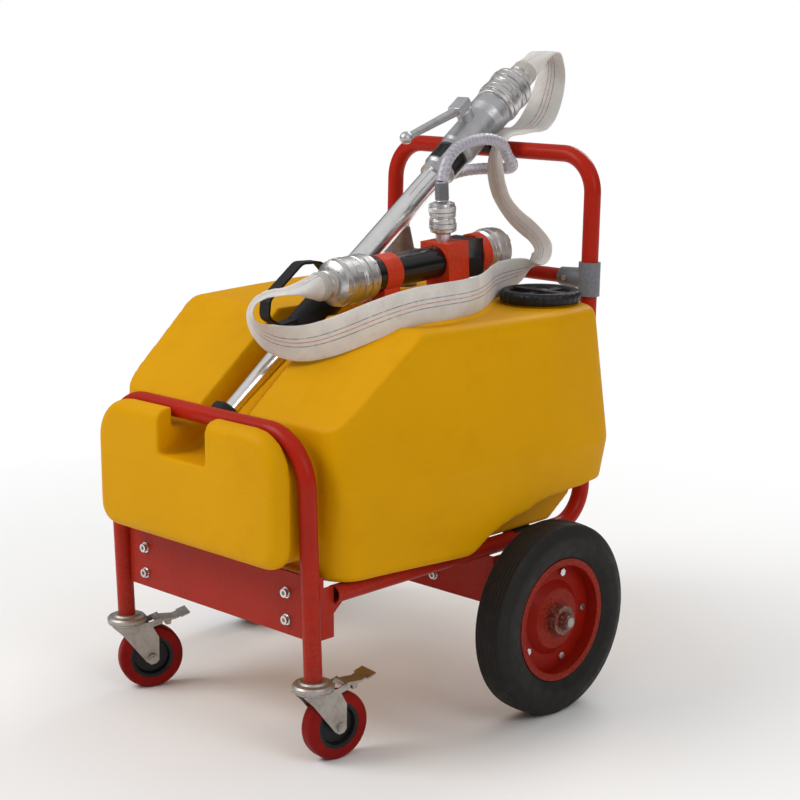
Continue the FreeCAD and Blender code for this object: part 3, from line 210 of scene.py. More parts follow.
def clear_hose_material():
    """Clear flexible hose with a pale braid wound through its wall."""
    m = Nodes("clear_braided")
    m.set(Transmission_Weight=0.45, IOR=1.4, Coat_Weight=0.35, Coat_Roughness=0.15, Roughness=0.22)
    uv = m.tree.nodes.new("ShaderNodeUVMap").outputs["UV"]
    turn, along, _ = m.split(uv)
    lines = None
    for sense in (1, -1):
        phase = m.math("ADD", m.math("MULTIPLY", along, 2 * math.pi / 0.011),
                       m.math("MULTIPLY", turn, sense * 2 * math.pi * 3))
        thread = m.ramp(m.math("SINE", phase), 0.72, 0.95)
        lines = thread if lines is None else m.math("MAXIMUM", lines, thread)
    base = m.mix(m.ramp(m.noise(30, 3.0), 0.3, 0.7), (0.50, 0.48, 0.56), (0.66, 0.64, 0.72))
    m.color(m.mix(m.math("MULTIPLY", lines, 0.7), base, (0.88, 0.87, 0.92)))
    m.bump(lines, 0.4, 0.0008)
    return m.material


def metal(name, color, rough, stretch=(1, 1, 1), turn=(0, 0, 0), grain=300.0, depth=0.08,
          stain=None, spread=0.1):
    """Bare metal with fine scratches drawn out along one direction."""
    m = Nodes(name)
    m.set(Metallic=1.0)
    lines = m.noise(grain, 3.0, 0.6, m.mapped(m.coords, stretch, turn))
    tone = m.mix(m.ramp(m.noise(22, 4.0), 0.3, 0.7), shade(color, 1 - spread), shade(color, 1 + spread))
    if stain:
        tone = m.mix(m.math("MULTIPLY", m.ramp(m.noise(38, 6.0, 0.7), 0.48, 0.72), stain[1]), tone,
                     stain[0])
    m.color(tone)
    m.rough(m.ramp(lines, 0.3, 0.7, rough * 0.75, rough * 1.3))
    m.bump(lines, depth, 0.0004)
    return m.material


PIPE_TURN = (math.radians(-35.75), 0, 0)
YELLOW = tank_material()
RED = plain("red_coat", (0.42, 0.017, 0.006), 0.34, 0.08, 7, 260, 0.04, 0.05,
            wear=((0.14, 0.08, 0.06), 0.25), dirt=((0.20, 0.012, 0.006), 0.25),
            Specular_IOR_Level=0.10, Coat_Weight=0.04, Coat_Roughness=0.15).material
WHEEL_RED = plain("red_wheel_paint", (0.27, 0.010, 0.004), 0.42, 0.1, 12, 300, 0.06, 0.08,
                  wear=((0.20, 0.10, 0.06), 0.3), dirt=((0.12, 0.012, 0.006), 0.4),
                  Specular_IOR_Level=0.08).material
ORANGE = plain("orange_red_paint", (0.66, 0.045, 0.012), 0.36, 0.05, 12, 340, 0.06, 0.05,
               wear=((0.42, 0.16, 0.10), 0.2), dirt=((0.42, 0.03, 0.01), 0.25),
               Specular_IOR_Level=0.12, Coat_Weight=0.04, Coat_Roughness=0.2).material
GLOSS_BLACK = plain("gloss_black", (0.006, 0.006, 0.007), 0.16, 0.2, 8, 200, 0.02, 0.04,
                    Specular_IOR_Level=0.5, Coat_Weight=0.15, Coat_Roughness=0.08).material
BLACK = plain("satin_black", (0.010, 0.010, 0.011), 0.42, 0.2, 12, 420, 0.08, 0.06,
              wear=((0.05, 0.05, 0.05), 0.35), dirt=((0.022, 0.020, 0.018), 0.3),
              Specular_IOR_Level=0.3).material
GREY = plain("grey_moulded", (0.17, 0.168, 0.185), 0.42, 0.06, 9, 380, 0.06, 0.05,
             wear=((0.30, 0.30, 0.31), 0.2), dirt=((0.12, 0.115, 0.12), 0.25),
             Specular_IOR_Level=0.3).material
TYRE = plain("tyre_rubber", (0.013, 0.011, 0.010), 0.6, 0.2, 9, 240, 0.12, 0.08,
             dirt=((0.040, 0.032, 0.026), 0.35), Specular_IOR_Level=0.25).material
RUBBER = plain("black_rubber", (0.010, 0.010, 0.011), 0.55, 0.2, 12, 360, 0.14, 0.06,
               dirt=((0.028, 0.026, 0.024), 0.3), Specular_IOR_Level=0.25).material
TREAD = plain("red_tread", (0.24, 0.008, 0.006), 0.46, 0.12, 16, 260, 0.08, 0.06,
              dirt=((0.07, 0.010, 0.007), 0.5), Specular_IOR_Level=0.08).material
STRAINER = plain("woven_strainer", (0.14, 0.085, 0.055), 0.6, 0.3, 60, 500, 0.5, 0.1,
                 dirt=((0.03, 0.025, 0.02), 0.7)).material
CAST = metal("cast_alloy", (0.55, 0.55, 0.565), 0.46, grain=170, depth=0.12,
             stain=((0.36, 0.35, 0.345), 0.35), spread=0.05)
ALLOY = metal("turned_alloy", (0.67, 0.66, 0.655), 0.35, grain=260, depth=0.06,
              stain=((0.34, 0.31, 0.29), 0.4), spread=0.06)
CHROME = metal("polished_tube", (0.93, 0.92, 0.92), 0.19, (1.0, 0.05, 1.0), PIPE_TURN, 260, 0.05,
               stain=((0.66, 0.65, 0.64), 0.15), spread=0.04)
ZINC = metal("zinc_plate", (0.44, 0.41, 0.38), 0.47, grain=120, depth=0.06,
             stain=((0.26, 0.20, 0.145), 0.6), spread=0.08)
HUB = plain("painted_hub", (0.16, 0.020, 0.012), 0.42, 0.15, 20, 240, 0.08, 0.08,
            wear=((0.26, 0.20, 0.16), 0.5), dirt=((0.05, 0.022, 0.016), 0.5)).material
STEEL = metal("bright_steel", (0.66, 0.65, 0.64), 0.26, grain=300, depth=0.1,
              stain=((0.30, 0.24, 0.18), 0.4))
BRASS = metal("turned_brass", (0.62, 0.42, 0.16), 0.28, grain=300, depth=0.1)
WOVEN = woven_material()
CLEAR = clear_hose_material()
BINDING = plain("bound_cloth", (0.50, 0.47, 0.43), 0.7, 0.08, 30, 900, 0.3, 0.06,
                dirt=((0.30, 0.27, 0.25), 0.4)).material

def rounded_edges(obj, width, segments, angle, even_normals=True):
    """Rounds every edge sharper than an angle in degrees, by a width in millimetres."""
    edge = obj.modifiers.new("soft_edge", "BEVEL")
    edge.width = width / 1000
    edge.segments = segments
    edge.limit_method = "ANGLE"
    edge.angle_limit = math.radians(angle)
    edge.harden_normals = even_normals


FINISH = {
    "front_hoop": RED, "front_cross_plate": RED, "rail_brackets": RED, "chassis_tube": RED,
    "handle_crossbar": RED, "rear_cross_plate": RED, "tee_clamps": GREY, "frame_bolts": STEEL,
    "axle_shaft": ZINC, "axle_spacers": ZINC, "axle_nuts": HUB, "tank_shell": YELLOW,
    "tank_pads": RUBBER, "filler_neck": YELLOW, "filler_cap": BLACK, "cap_seal": RUBBER,
    "suction_fitting": STRAINER, "dip_tube": GREY, "foot_strainer": STRAINER,
    "pipe_barrel": CHROME, "pipe_tip_bumper": RUBBER, "grip_sleeve": RUBBER,
    "carry_loop": RUBBER, "pipe_head": CAST, "jet_insert": BRASS, "valve_ball": STEEL,
    "valve_lever": CAST, "valve_knob": CAST, "pipe_coupling": ALLOY, "hose_coupling_top": ALLOY,
    "pipe_supports": RUBBER, "inductor_barrel": GLOSS_BLACK, "clamp_front": ORANGE,
    "clamp_rear": ORANGE, "inlet_flange": ORANGE, "inlet_coupling": ALLOY,
    "outlet_coupling": ALLOY, "hose_coupling_low": ALLOY, "pickup_coupling": ALLOY,
    "suction_coupling": ALLOY, "delivery_hose": WOVEN, "suction_hose": CLEAR,
}
for side in ("left", "right"):
    FINISH.update({
        "castor_head_" + side: ZINC, "castor_fork_" + side: ZINC, "brake_pedal_" + side: ZINC,
        "castor_core_" + side: BLACK, "castor_tread_" + side: TREAD, "rear_tyre_" + side: TYRE,
        "rear_rim_" + side: WHEEL_RED, "rim_bolts_" + side: STEEL, "wheel_hub_" + side: HUB})

SOFT_EDGE = {"front_cross_plate": 0.8, "rail_brackets": 0.8, "rear_cross_plate": 0.8,
             "tee_clamps": 1.2, "frame_bolts": 0.5, "filler_neck": 0.8, "pipe_head": 1.2,
             "grip_sleeve": 1.5, "carry_loop": 1.5, "pipe_tip_bumper": 2.0, "clamp_front": 1.4,
             "clamp_rear": 1.4, "inlet_flange": 1.0, "inductor_barrel": 1.2, "valve_lever": 1.5}

for name, obj in NODES.items():
    finish = FINISH.get(name, ZINC)
    obj.data.materials.clear()
    obj.data.materials.append(finish)
    obj.data.shade_smooth()
    obj.data.set_sharp_from_angle(angle=math.radians(32))
    if name in SOFT_EDGE:
        rounded_edges(obj, SOFT_EDGE[name], 2, 40)


# ------------------------------------------------------------------ mesh helpers

def add_mesh(name, verts, faces, material, sharp):
    mesh = bpy.data.meshes.new(name)
    mesh.from_pydata([tuple(v) for v in verts], [], faces)
    mesh.validate()
    obj = bpy.data.objects.new(name, mesh)
    bpy.context.scene.collection.objects.link(obj)
    mesh.materials.append(material)
    mesh.shade_smooth()
    mesh.set_sharp_from_angle(angle=math.radians(sharp))
    return obj


def placed(base, axis, roll=None):
    """The matrix that takes +Z to axis and the origin to base."""
    turn = Vector(axis).to_track_quat("Z", "Y").to_matrix().to_4x4()
    if roll is not None:
        z = Vector(axis).normalized()
        x = (Vector(roll) - z * z.dot(Vector(roll))).normalized()
        y = z.cross(x)
        turn = Matrix((x, y, z)).transposed().to_4x4()
    return Matrix.Translation(base) @ turn


def turned(profile, matrix, segments=72, wobble=None):
    """Vertices and faces of a closed ring of (radius, height) pairs, in millimetres."""
    verts, faces = [], []
    count = len(profile)
    for step in range(segments):
        angle = 2 * math.pi * step / segments
        for index, (r, z) in enumerate(profile):
            grow = wobble(index, step) if wobble else 0.0
            p = Vector(((r + grow) * math.cos(angle), (r + grow) * math.sin(angle), z)) / 1000
            verts.append(matrix @ p)
    for step in range(segments):
        ahead = (step + 1) % segments
        for index in range(count):
            after = (index + 1) % count
            faces.append((step * count + index, ahead * count + index,
                          ahead * count + after, step * count + after))
    return verts, faces


def block(low, high, matrix):
    """A box between two corners in millimetres."""
    verts = []
    for x in (low[0], high[0]):
        for y in (low[1], high[1]):
            for z in (low[2], high[2]):
                verts.append(matrix @ (Vector((x, y, z)) / 1000))
    faces = [(0, 1, 3, 2), (4, 6, 7, 5), (0, 4, 5, 1), (2, 3, 7, 6), (0, 2, 6, 4), (1, 5, 7, 3)]
    return verts, faces


def joined(parts):
    verts, faces = [], []
    for some_verts, some_faces in parts:
        base = len(verts)
        verts.extend(some_verts)
        faces.extend(tuple(base + i for i in face) for face in some_faces)
    return verts, faces


def piece(obj, body, slot, *nodes):
    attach(obj, body)
    if nodes:
        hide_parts(*nodes)
    return obj


# ------------------------------------------------------------------ axes of the two assemblies

PIPE_ANGLE = math.radians(35.75)
PIPE_AXIS = Vector((0, math.cos(PIPE_ANGLE), math.sin(PIPE_ANGLE)))
PIPE_UP = Vector((0, -math.sin(PIPE_ANGLE), math.cos(PIPE_ANGLE)))
PIPE_BASE = at(0, 74, 658)
DUCT_ANGLE = math.radians(2.8)
DUCT_AXIS = Vector((0, math.cos(DUCT_ANGLE), math.sin(DUCT_ANGLE)))
DUCT_UP = Vector((0, -math.sin(DUCT_ANGLE), math.cos(DUCT_ANGLE)))
DUCT_BASE = at(100, 270, 885)


def pipe_point(station, up=0.0):
    """A point a distance along the branchpipe's axis, and a height square to it."""
    return PIPE_BASE + PIPE_AXIS * (station / 1000) + PIPE_UP * (up / 1000)


def duct_point(station, up=0.0):
    """A point a distance along the inductor's axis, and a height square to it."""
    return DUCT_BASE + DUCT_AXIS * (station / 1000) + DUCT_UP * (up / 1000)


# ------------------------------------------------------------------ tank

def tank_body():
    """The tank's outside, with its holes closed, rebuilt as one even skin and relaxed."""
    source = bmesh.new()
    source.from_mesh(NODES["tank_shell"].data)
    # the faces where the CAD solids touch would split the skin in three
    seams = [face for face in source.faces if abs(face.normal.x) > 0.999
             and abs(abs(face.calc_center_median().x) - SEAM) < 2e-4]
    bmesh.ops.delete(source, geom=seams, context="FACES")
    bmesh.ops.remove_doubles(source, verts=source.verts, dist=1e-5)
    top = 0.815
    plugs = [(0.272, 0.235, 0.064), (-0.105, 0.213, 0.014)]
    for x in (0.068, 0.132):
        plugs += [(x, -0.058, 0.005), (x, 0.128, 0.005)]
    for x, y, radius in plugs:
        where = Matrix.Translation((x, y, top - 0.0035))
        bmesh.ops.create_cone(source, cap_ends=True, segments=32, radius1=radius, radius2=radius,
                              depth=0.0069, matrix=where)
    mesh = bpy.data.meshes.new("tank_body")
    source.to_mesh(mesh)
    source.free()
    obj = bpy.data.objects.new("tank_body", mesh)
    bpy.context.scene.collection.objects.link(obj)
    remesh = obj.modifiers.new("skin", "REMESH")
    remesh.mode = "VOXEL"
    remesh.voxel_size = 0.0042
    apply_all(obj)
    keep_biggest(obj)
    relax = obj.modifiers.new("relax", "SMOOTH")
    relax.factor = 0.5
    relax.iterations = 14
    apply_all(obj)
    obj.data.materials.clear()
    obj.data.materials.append(YELLOW)
    obj.data.shade_smooth()
    return piece(obj, "chassis", "yellow_tank", "tank_shell")


def apply_all(obj):
    graph = bpy.context.evaluated_depsgraph_get()
    mesh = bpy.data.meshes.new_from_object(obj.evaluated_get(graph))
    obj.modifiers.clear()
    old = obj.data
    obj.data = mesh
    bpy.data.meshes.remove(old)


def keep_biggest(obj):
    """Drops every separate shell but the one with the largest box."""
    bm = bmesh.new()
    bm.from_mesh(obj.data)
    bm.verts.ensure_lookup_table()
    label = [-1] * len(bm.verts)
    shells = []
    for start in bm.verts:
        if label[start.index] >= 0:
            continue
        shell = [start]
        label[start.index] = len(shells)
        for vert in shell:
            for edge in vert.link_edges:
                other = edge.other_vert(vert)
                if label[other.index] < 0:
                    label[other.index] = len(shells)
                    shell.append(other)
        shells.append(shell)
    def spread(shell):
        xs = [v.co.x for v in shell]
        return max(xs) - min(xs)
    best = max(shells, key=spread)
    for shell in shells:
        if shell is not best:
            bmesh.ops.delete(bm, geom=shell, context="VERTS")
    bm.to_mesh(obj.data)
    bm.free()


tank_body()


# ------------------------------------------------------------------ rear tyres

def tyre_profile():
    """Solid tyre section with faint ribs round its tread and a step on each wall."""
    tread = []
    for index in range(29):
        z = -28 + 2 * index
        crown = 200.0 - 0.0034 * z * z
        groove = 1.1 if (index % 4) in (1, 2) else 0.0
        tread.append((min(crown - groove, 199.9), z))
    wall = [(116, -25.5), (122, -27), (127.5, -27.6), (130, -31), (134, -33.8), (142, -36.6),
            (144, -38.4), (152, -39.6), (160, -40.3), (168, -40.4), (176, -39.6), (178, -38.0),
            (185, -36.4), (191, -33.4), (195, -30.6)]
    return wall + tread + [(r, -z) for r, z in reversed(wall)]


for side, sign in (("left", -1), ("right", 1)):
    hub = placed(at(sign * 432, 529, 200), (sign, 0, 0))
    verts, faces = turned(tyre_profile(), hub, 128)
    tyre = add_mesh("tyre_" + side, verts, faces, TYRE, sharp=60)
    piece(tyre, "wheel_" + side, "tyre", "rear_tyre_" + side)


# ------------------------------------------------------------------ couplings

def claw_coupling(name, face, axis, outer, deep, bore, neck, neck_length, body, node):
    """A claw coupling half: face ring, locking ring with lugs, grip bosses and a plain tail."""
    matrix = placed(face, axis, roll=(1, 0.3, 0.2))
    o, d = outer, deep
    profile = [(bore, 0), (o - 4, 0), (o - 3, 1), (o - 3, 0.11 * d), (o - 1.4, 0.13 * d),
               (o - 1.4, 0.31 * d), (o - 3.6, 0.32 * d), (o - 3.6, 0.35 * d), (o, 0.36 * d),
               (o, 0.62 * d), (o - 1, 0.64 * d), (o - 3.4, 0.65 * d), (o - 3.4, 0.68 * d),
               (o - 1.8, 0.69 * d), (o - 2.8, 0.85 * d), (o - 8.5, 0.91 * d),
               (max(neck, o - 14.0), 0.97 * d), (neck, d)]
    if neck_length > 5:
        profile += [(neck - 0.6, d + neck_length), (bore + 1, d + neck_length)]
    profile += [(bore, d + max(neck_length, 0) - 1)]
    parts = [turned(profile, matrix, 120)]
    for index in range(3):
        turn = matrix @ Matrix.Rotation(math.radians(120 * index + 25), 4, "Z")
        parts.append(block((o - 6, -0.17 * o, 0.02 * d), (o - 0.8, 0.17 * o, 0.33 * d), turn))
        turn = matrix @ Matrix.Rotation(math.radians(120 * index + 85), 4, "Z")
        parts.append(block((o - 8, -0.07 * o, 0.60 * d), (o - 0.4, 0.07 * o, 0.84 * d), turn))
    verts, faces = joined(parts)
    obj = add_mesh(name, verts, faces, ALLOY, sharp=30)
    rounded_edges(obj, 0.4, 1, 42, even_normals=False)
    return piece(obj, body, "cast_aluminium", node)


def binding(name, start, axis, radius, length):
    """The hose end drawn over a tail, ribbed by the tail under it, with turns of binding wire."""
    matrix = placed(start, axis, roll=(1, 0.3, 0.2))
    profile = [(radius - 3, 0), (radius, 0.8)]
    ribs = int(length / 6)
    for index in range(ribs):
        z = 2 + (length - 4) * index / ribs
        profile += [(radius + 0.1, z), (radius + 0.9, z + 1.4), (radius + 1.0, z + 2.8),
                    (radius + 0.1, z + 4.2)]
    profile += [(radius - 0.6, length), (radius - 3, length)]
    verts, faces = turned(profile, matrix, 96)
    cloth = add_mesh(name, verts, faces, BINDING, sharp=60)
    piece(cloth, "chassis", "hose_cloth")
    parts = []
    for turn in range(5):
        z = length * 0.34 + 1.35 * turn
        ring = [(radius + 0.9 + 0.62 * math.cos(a), z + 0.62 * math.sin(a))
                for a in (math.pi * k / 4 for k in range(8))]
        parts.append(turned(ring, matrix, 96))
    verts, faces = joined(parts)
    wire = add_mesh(name + "_wire", verts, faces, ALLOY, sharp=60)
    piece(wire, "chassis", "zinc")


claw_coupling("branch_claw", pipe_point(972), -PIPE_AXIS, 49, 47, 20, 42, 0, "chassis", "pipe_coupling")
claw_coupling("hose_claw_top", pipe_point(972), PIPE_AXIS, 49, 46, 20, 27, 42, "chassis",
              "hose_coupling_top")
claw_coupling("hose_claw_low", duct_point(17), -DUCT_AXIS, 49, 56, 20, 27, 33, "chassis",
              "hose_coupling_low")
claw_coupling("outlet_claw", duct_point(17), DUCT_AXIS, 49, 51, 20, 38, 0, "chassis", "outlet_coupling")
claw_coupling("inlet_claw", duct_point(458), -DUCT_AXIS, 49, 57.4, 22, 38, 0, "inlet_swivel",
              "inlet_coupling")
claw_coupling("pickup_claw", duct_point(292, 90), -DUCT_UP, 29, 35, 6, 16, 20, "chassis",
              "pickup_coupling")
claw_coupling("suction_claw", duct_point(292, 90), DUCT_UP, 29, 35, 6, 13, 40, "chassis",
              "suction_coupling")


def ribbed_tail(name, start, axis, radius, length):
    """The suction hose drawn over its tail, gripped by turns of grey wire."""
    profile = [(radius - 2, 0), (radius, 0.6)]
    for index in range(int(length / 4)):
        z = 1.4 + 4.0 * index
        profile += [(radius, z), (radius + 1.2, z + 0.9), (radius + 1.2, z + 2.0), (radius, z + 2.9)]
    profile += [(radius - 0.4, length), (radius - 2, length)]
    verts, faces = turned(profile, placed(start, axis), 72)
    piece(add_mesh(name, verts, faces, GREY, sharp=60), "chassis", "grey_plastic")


ribbed_tail("suction_tail", duct_point(292, 90 + 36), DUCT_UP, 13.9, 36)
binding("binding_top", pipe_point(972 + 47), PIPE_AXIS, 28.0, 44)
binding("binding_low", duct_point(17 - 57), -DUCT_AXIS, 28.0, 36)


# ------------------------------------------------------------------ foam head and its lever

def lever():
    """Sleeve and cap block round the valve stem, with a tapered round arm and a ball end."""
    frame_of = placed(pipe_point(846, 54), PIPE_UP, roll=(1, 0, 0))
    sleeve = [(0.5, -24), (18.4, -24), (18.0, -4), (20.5, 1), (20.5, 5), (18, 6.5), (0.5, 6.5)]
    cap_block = block((-17, -23, 5.5), (17, 19, 27), frame_of)
    verts, faces = joined([turned(sleeve, frame_of, 56), cap_block])
    cap = add_mesh("lever_cap", verts, faces, CAST, sharp=50)
    rounded_edges(cap, 4.5, 4, 50, even_normals=False)
    start, end = pipe_point(838, 66), pipe_point(680, 118)
    run = (end - start).length * 1000
    arm = [(0.5, -6), (10.4, -6), (10.4, 6), (9.2, run * 0.5), (7.8, run - 6), (7.4, run), (0.5, run)]
    verts, faces = turned(arm, placed(start, end - start), 40)
    rod = add_mesh("lever_arm", verts, faces, CAST, sharp=50)
    knob = [(max(0.4, 13.6 * math.sin(a)), -13.6 * math.cos(a))
            for a in (math.pi * k / 18 for k in range(19))]
    verts, faces = turned(knob, placed(pipe_point(674, 120), PIPE_AXIS), 40)
    ball = add_mesh("lever_ball", verts, faces, CAST, sharp=60)
    piece(cap, "valve", "cast_aluminium", "valve_lever")
    piece(rod, "valve", "cast_aluminium")
    piece(ball, "valve", "cast_aluminium", "valve_knob")


def head_bore_shade():
    """Black sleeve inside the foam head: painted shade for the dark bore seen through its air slots."""
    # painted shade: a black surface stands where the bore inside the head is only shaded
    verts, faces = turned([(26.5, 712), (28.6, 712), (28.6, 774), (26.5, 774)],
                          placed(pipe_point(0), PIPE_AXIS), 56)
    piece(add_mesh("head_bore_shade", verts, faces, BLACK, sharp=50), "chassis", "black_gloss")


lever()
head_bore_shade()


# ------------------------------------------------------------------ filler cap

def filler_cap():
    base = placed(at(272, 672, 815), (0, 0, 1), roll=(1, 0, 0))
    ring = [(62.1, 4), (80, 4), (83, 5.5), (84.6, 9), (84.8, 20), (83.5, 24.5), (80, 28), (76, 29),
            (69, 29), (65, 27.4), (62.5, 24), (61.8, 20.5), (60, 19.8), (30, 19.6), (0.5, 19.6),
            (0.5, 19.1), (62.1, 19.1)]
    def knurl(index, step):
        return -1.3 if 2 <= index <= 6 and step % 6 in (0, 1) else 0.0
    parts = [turned(ring, base, 180, knurl)]
    bar = block((-64, -9, 19.4), (64, 9, 27.5), base)
    cross = block((-9, -64, 19.4), (9, 64, 24.0), base)
    hub = turned([(0.5, 19.4), (15, 19.4), (15, 28), (12, 29), (0.5, 29)], base, 48)
    verts, faces = joined(parts + [bar, cross, hub])
    cap = add_mesh("filler_wheel", verts, faces, BLACK, sharp=40)
    rounded_edges(cap, 1.2, 2, 35)
    return piece(cap, "cap", "black_plastic", "filler_cap")


filler_cap()


# ------------------------------------------------------------------ hoses

DELIVERY_ROUTE = [
    (100, 198.1, 881.5), (100, 172, 881), (98, 148, 880), (91, 124, 879), (78, 104, 878),
    (61, 88, 872), (46, 77, 857), (39, 74, 834), (43, 82, 811), (57, 95, 793), (81, 110, 781),
    (118, 129, 778), (158, 150, 787), (202, 177, 806), (252, 216, 834), (294, 270, 856),
    (312, 338, 860), (305, 412, 858), (280, 480, 858), (243, 540, 858), (208, 592, 858),
    (180, 645, 858), (168, 695, 860), (172, 738, 866), (188, 768, 884), (190, 778, 914),
    (160, 779, 944), (118, 778, 966), (84, 776, 995), (62, 774, 1032), (54, 772, 1072),
    (54, 776, 1112), (56, 798, 1146), (55, 842, 1154), (46, 888, 1152), (30, 932, 1162),
    (13, 978, 1188), (2, 1012, 1230), (-3, 1030, 1272), (-3, 1024, 1310), (0, 998, 1321),
    (0, 966, 1301), (0, 934.3, 1277.3)]

# which way the flat hose's width points at each point of the route
WIDTH_WAYS = [
    (1, 0, 0), (1, 0, 0), (1, -0.05, 0), (0.93, -0.37, 0), (0.8, -0.6, 0), (0.68, -0.73, -0.09),
    (0.74, -0.64, -0.19), (0.9, -0.41, -0.1), (0.93, -0.22, 0.29), (0.68, -0.16, 0.72),
    (0.32, -0.16, 0.93), (0.02, -0.18, 0.98), (-0.17, -0.26, 0.95), (0, -0.15, 1), (0, -0.1, 1),
    (0, -0.05, 1), (0, 0, 1), (0, 0, 1), (0, 0, 1), (0, 0, 1), (0, 0, 1), (0, 0, 1), (0.2, 0, 1),
    (0.6, -0.1, 0.8), (0.95, -0.3, 0.1), (0.96, -0.27, 0), (0.7, -0.4, 0.4), (0.5, -0.5, 0.7),
    (0.65, -0.45, 0.6), (0.85, -0.35, 0.3), (0.94, -0.35, 0), (0.9, -0.44, 0), (0.87, -0.5, 0),
    (1, 0, -0.1), (0.97, 0.2, -0.05), (0.92, 0.32, -0.2), (0.88, 0.34, -0.3), (0.88, 0.26, -0.3),
    (0.92, 0.12, -0.2), (0.97, 0, -0.1), (1, 0, 0), (1, 0, 0), (1, 0, 0)]

SUCTION_ROUTE = [
    (100, 553.7, 1064), (100, 560, 1090), (100, 580, 1118), (100, 616, 1138), (100, 664, 1146),
    (101, 712, 1144), (103, 744, 1130), (102, 757, 1106), (102, 774, 1090), (86, 794, 1076),
    (48, 800, 1072), (0, 790, 1070), (-46, 771, 1063), (-84, 740, 1043), (-104, 701, 1015),
    (-106, 664, 986), (-105, 650, 945)]


def nurbs_line(name, route, steps):
    """Points along the route's NURBS spline."""
    data = bpy.data.curves.new(name, "CURVE")
    data.dimensions = "3D"
    data.resolution_u = steps
    spline = data.splines.new("NURBS")
    spline.points.add(len(route) - 1)
    for point, place in zip(spline.points, route):
        point.co = (*at(*place), 1.0)
    spline.order_u = 3
    spline.use_endpoint_u = True
    holder = bpy.data.objects.new(name, data)
    bpy.context.scene.collection.objects.link(holder)
    graph = bpy.context.evaluated_depsgraph_get()
    mesh = bpy.data.meshes.new_from_object(holder.evaluated_get(graph))
    points = [v.co.copy() for v in mesh.vertices]
    bpy.data.objects.remove(holder)
    bpy.data.meshes.remove(mesh)
    return points


def lengths_along(points):
    run = [0.0]
    for a, b in zip(points, points[1:]):
        run.append(run[-1] + (b - a).length)
    return run


def tangents(points):
    result = []
    for index in range(len(points)):
        a, b = points[max(index - 1, 0)], points[min(index + 1, len(points) - 1)]
        result.append((b - a).normalized())
    return result


def skin(name, rings, uvs, material):
    """A tube through rings of points, with a (across, along) pair for every point."""
    count = len(rings[0])
    verts = [p for one in rings for p in one]
    faces, corner_uvs = [], []
    for index in range(len(rings) - 1):
        for k in range(count):
            j = (k + 1) % count
            faces.append((index * count + k, index * count + j,
                          (index + 1) * count + j, (index + 1) * count + k))
            row, after = uvs[index], uvs[index + 1]
            wrap = k == count - 1
            corner_uvs.append((row[k], row[count] if wrap else row[j],
                               after[count] if wrap else after[j], after[k]))
    faces.append(tuple(reversed(range(count))))
    faces.append(tuple((len(rings) - 1) * count + k for k in range(count)))
    corner_uvs += [None, None]
    obj = add_mesh(name, verts, faces, material, sharp=70)
    layer = obj.data.uv_layers.new(name="UVMap")
    for polygon, corners in zip(obj.data.polygons, corner_uvs):
        for slot_index, loop in enumerate(polygon.loop_indices):
            layer.data[loop].uv = corners[slot_index] if corners else (0.03, 0.0)
    return obj


def ease(value):
    value = max(0.0, min(1.0, value))
    return value * value * (3 - 2 * value)


def delivery_hose():
    points = nurbs_line("delivery_line", DELIVERY_ROUTE, 9)
    run = lengths_along(points)
    ways = tangents(points)
    total = run[-1]
    last = len(WIDTH_WAYS) - 1
    rings, uvs = [], []
    sections = 36
    for index, (point, way) in enumerate(zip(points, ways)):
        spot = index / (len(points) - 1) * last
        low = min(int(spot), last - 1)
        mixed = Vector(WIDTH_WAYS[low]).lerp(Vector(WIDTH_WAYS[low + 1]), spot - low)
        across = (mixed - way * way.dot(mixed)).normalized()
        lift = way.cross(across)
        flat = min(ease(run[index] / 0.085), ease((total - run[index]) / 0.075))
        half = 0.0262 + (0.0375 - 0.0262) * flat ** 0.7
        thick = 0.0262 + (0.0032 - 0.0262) * flat ** 0.8
        swell = noise.noise(Vector((run[index] * 9, 3.1, 0))) * 0.0007 * flat
        ring, row = [], []
        for k in range(sections + 1):
            angle = 2 * math.pi * k / sections
            c, s = math.cos(angle), math.sin(angle)
            power = 1.0 - 0.25 * flat
            x = math.copysign(abs(c) ** power, c) * half
            z = math.copysign(abs(s) ** (1.0 - 0.1 * flat), s) * (thick + swell)
            row.append((x, run[index]))
            ripple = noise.noise(Vector((run[index] * 22, x * 40, 7.7))) * 0.0012 * flat
            if k < sections:
                ring.append(point + across * x + lift * (z + ripple))
        rings.append(ring)
        uvs.append(row)
    hose = skin("layflat_hose", rings, uvs, WOVEN)
    piece(hose, "chassis", "hose_cloth", "delivery_hose")


def suction_hose():
    points = nurbs_line("suction_line", SUCTION_ROUTE, 28)
    run = lengths_along(points)
    ways = tangents(points)
    across = ways[0].orthogonal().normalized()
    rings, uvs = [], []
    sections = 28
    for index, (point, way) in enumerate(zip(points, ways)):
        across = (across - way * way.dot(across)).normalized()
        lift = way.cross(across)
        ring, row = [], []
        for k in range(sections + 1):
            angle = 2 * math.pi * k / sections
            ridge = max(0.0, math.cos(angle - 2 * math.pi * run[index] / 0.012)) ** 3
            radius = 0.0124 + 0.0006 * ridge
            row.append((k / sections, run[index]))
            if k < sections:
                ring.append(point + (across * math.cos(angle) + lift * math.sin(angle)) * radius)
        rings.append(ring)
        uvs.append(row)
    hose = skin("suction_tube", rings, uvs, CLEAR)
    piece(hose, "chassis", "hose_pvc", "suction_hose")


delivery_hose()
suction_hose()


# ------------------------------------------------------------------ camera, light and floor

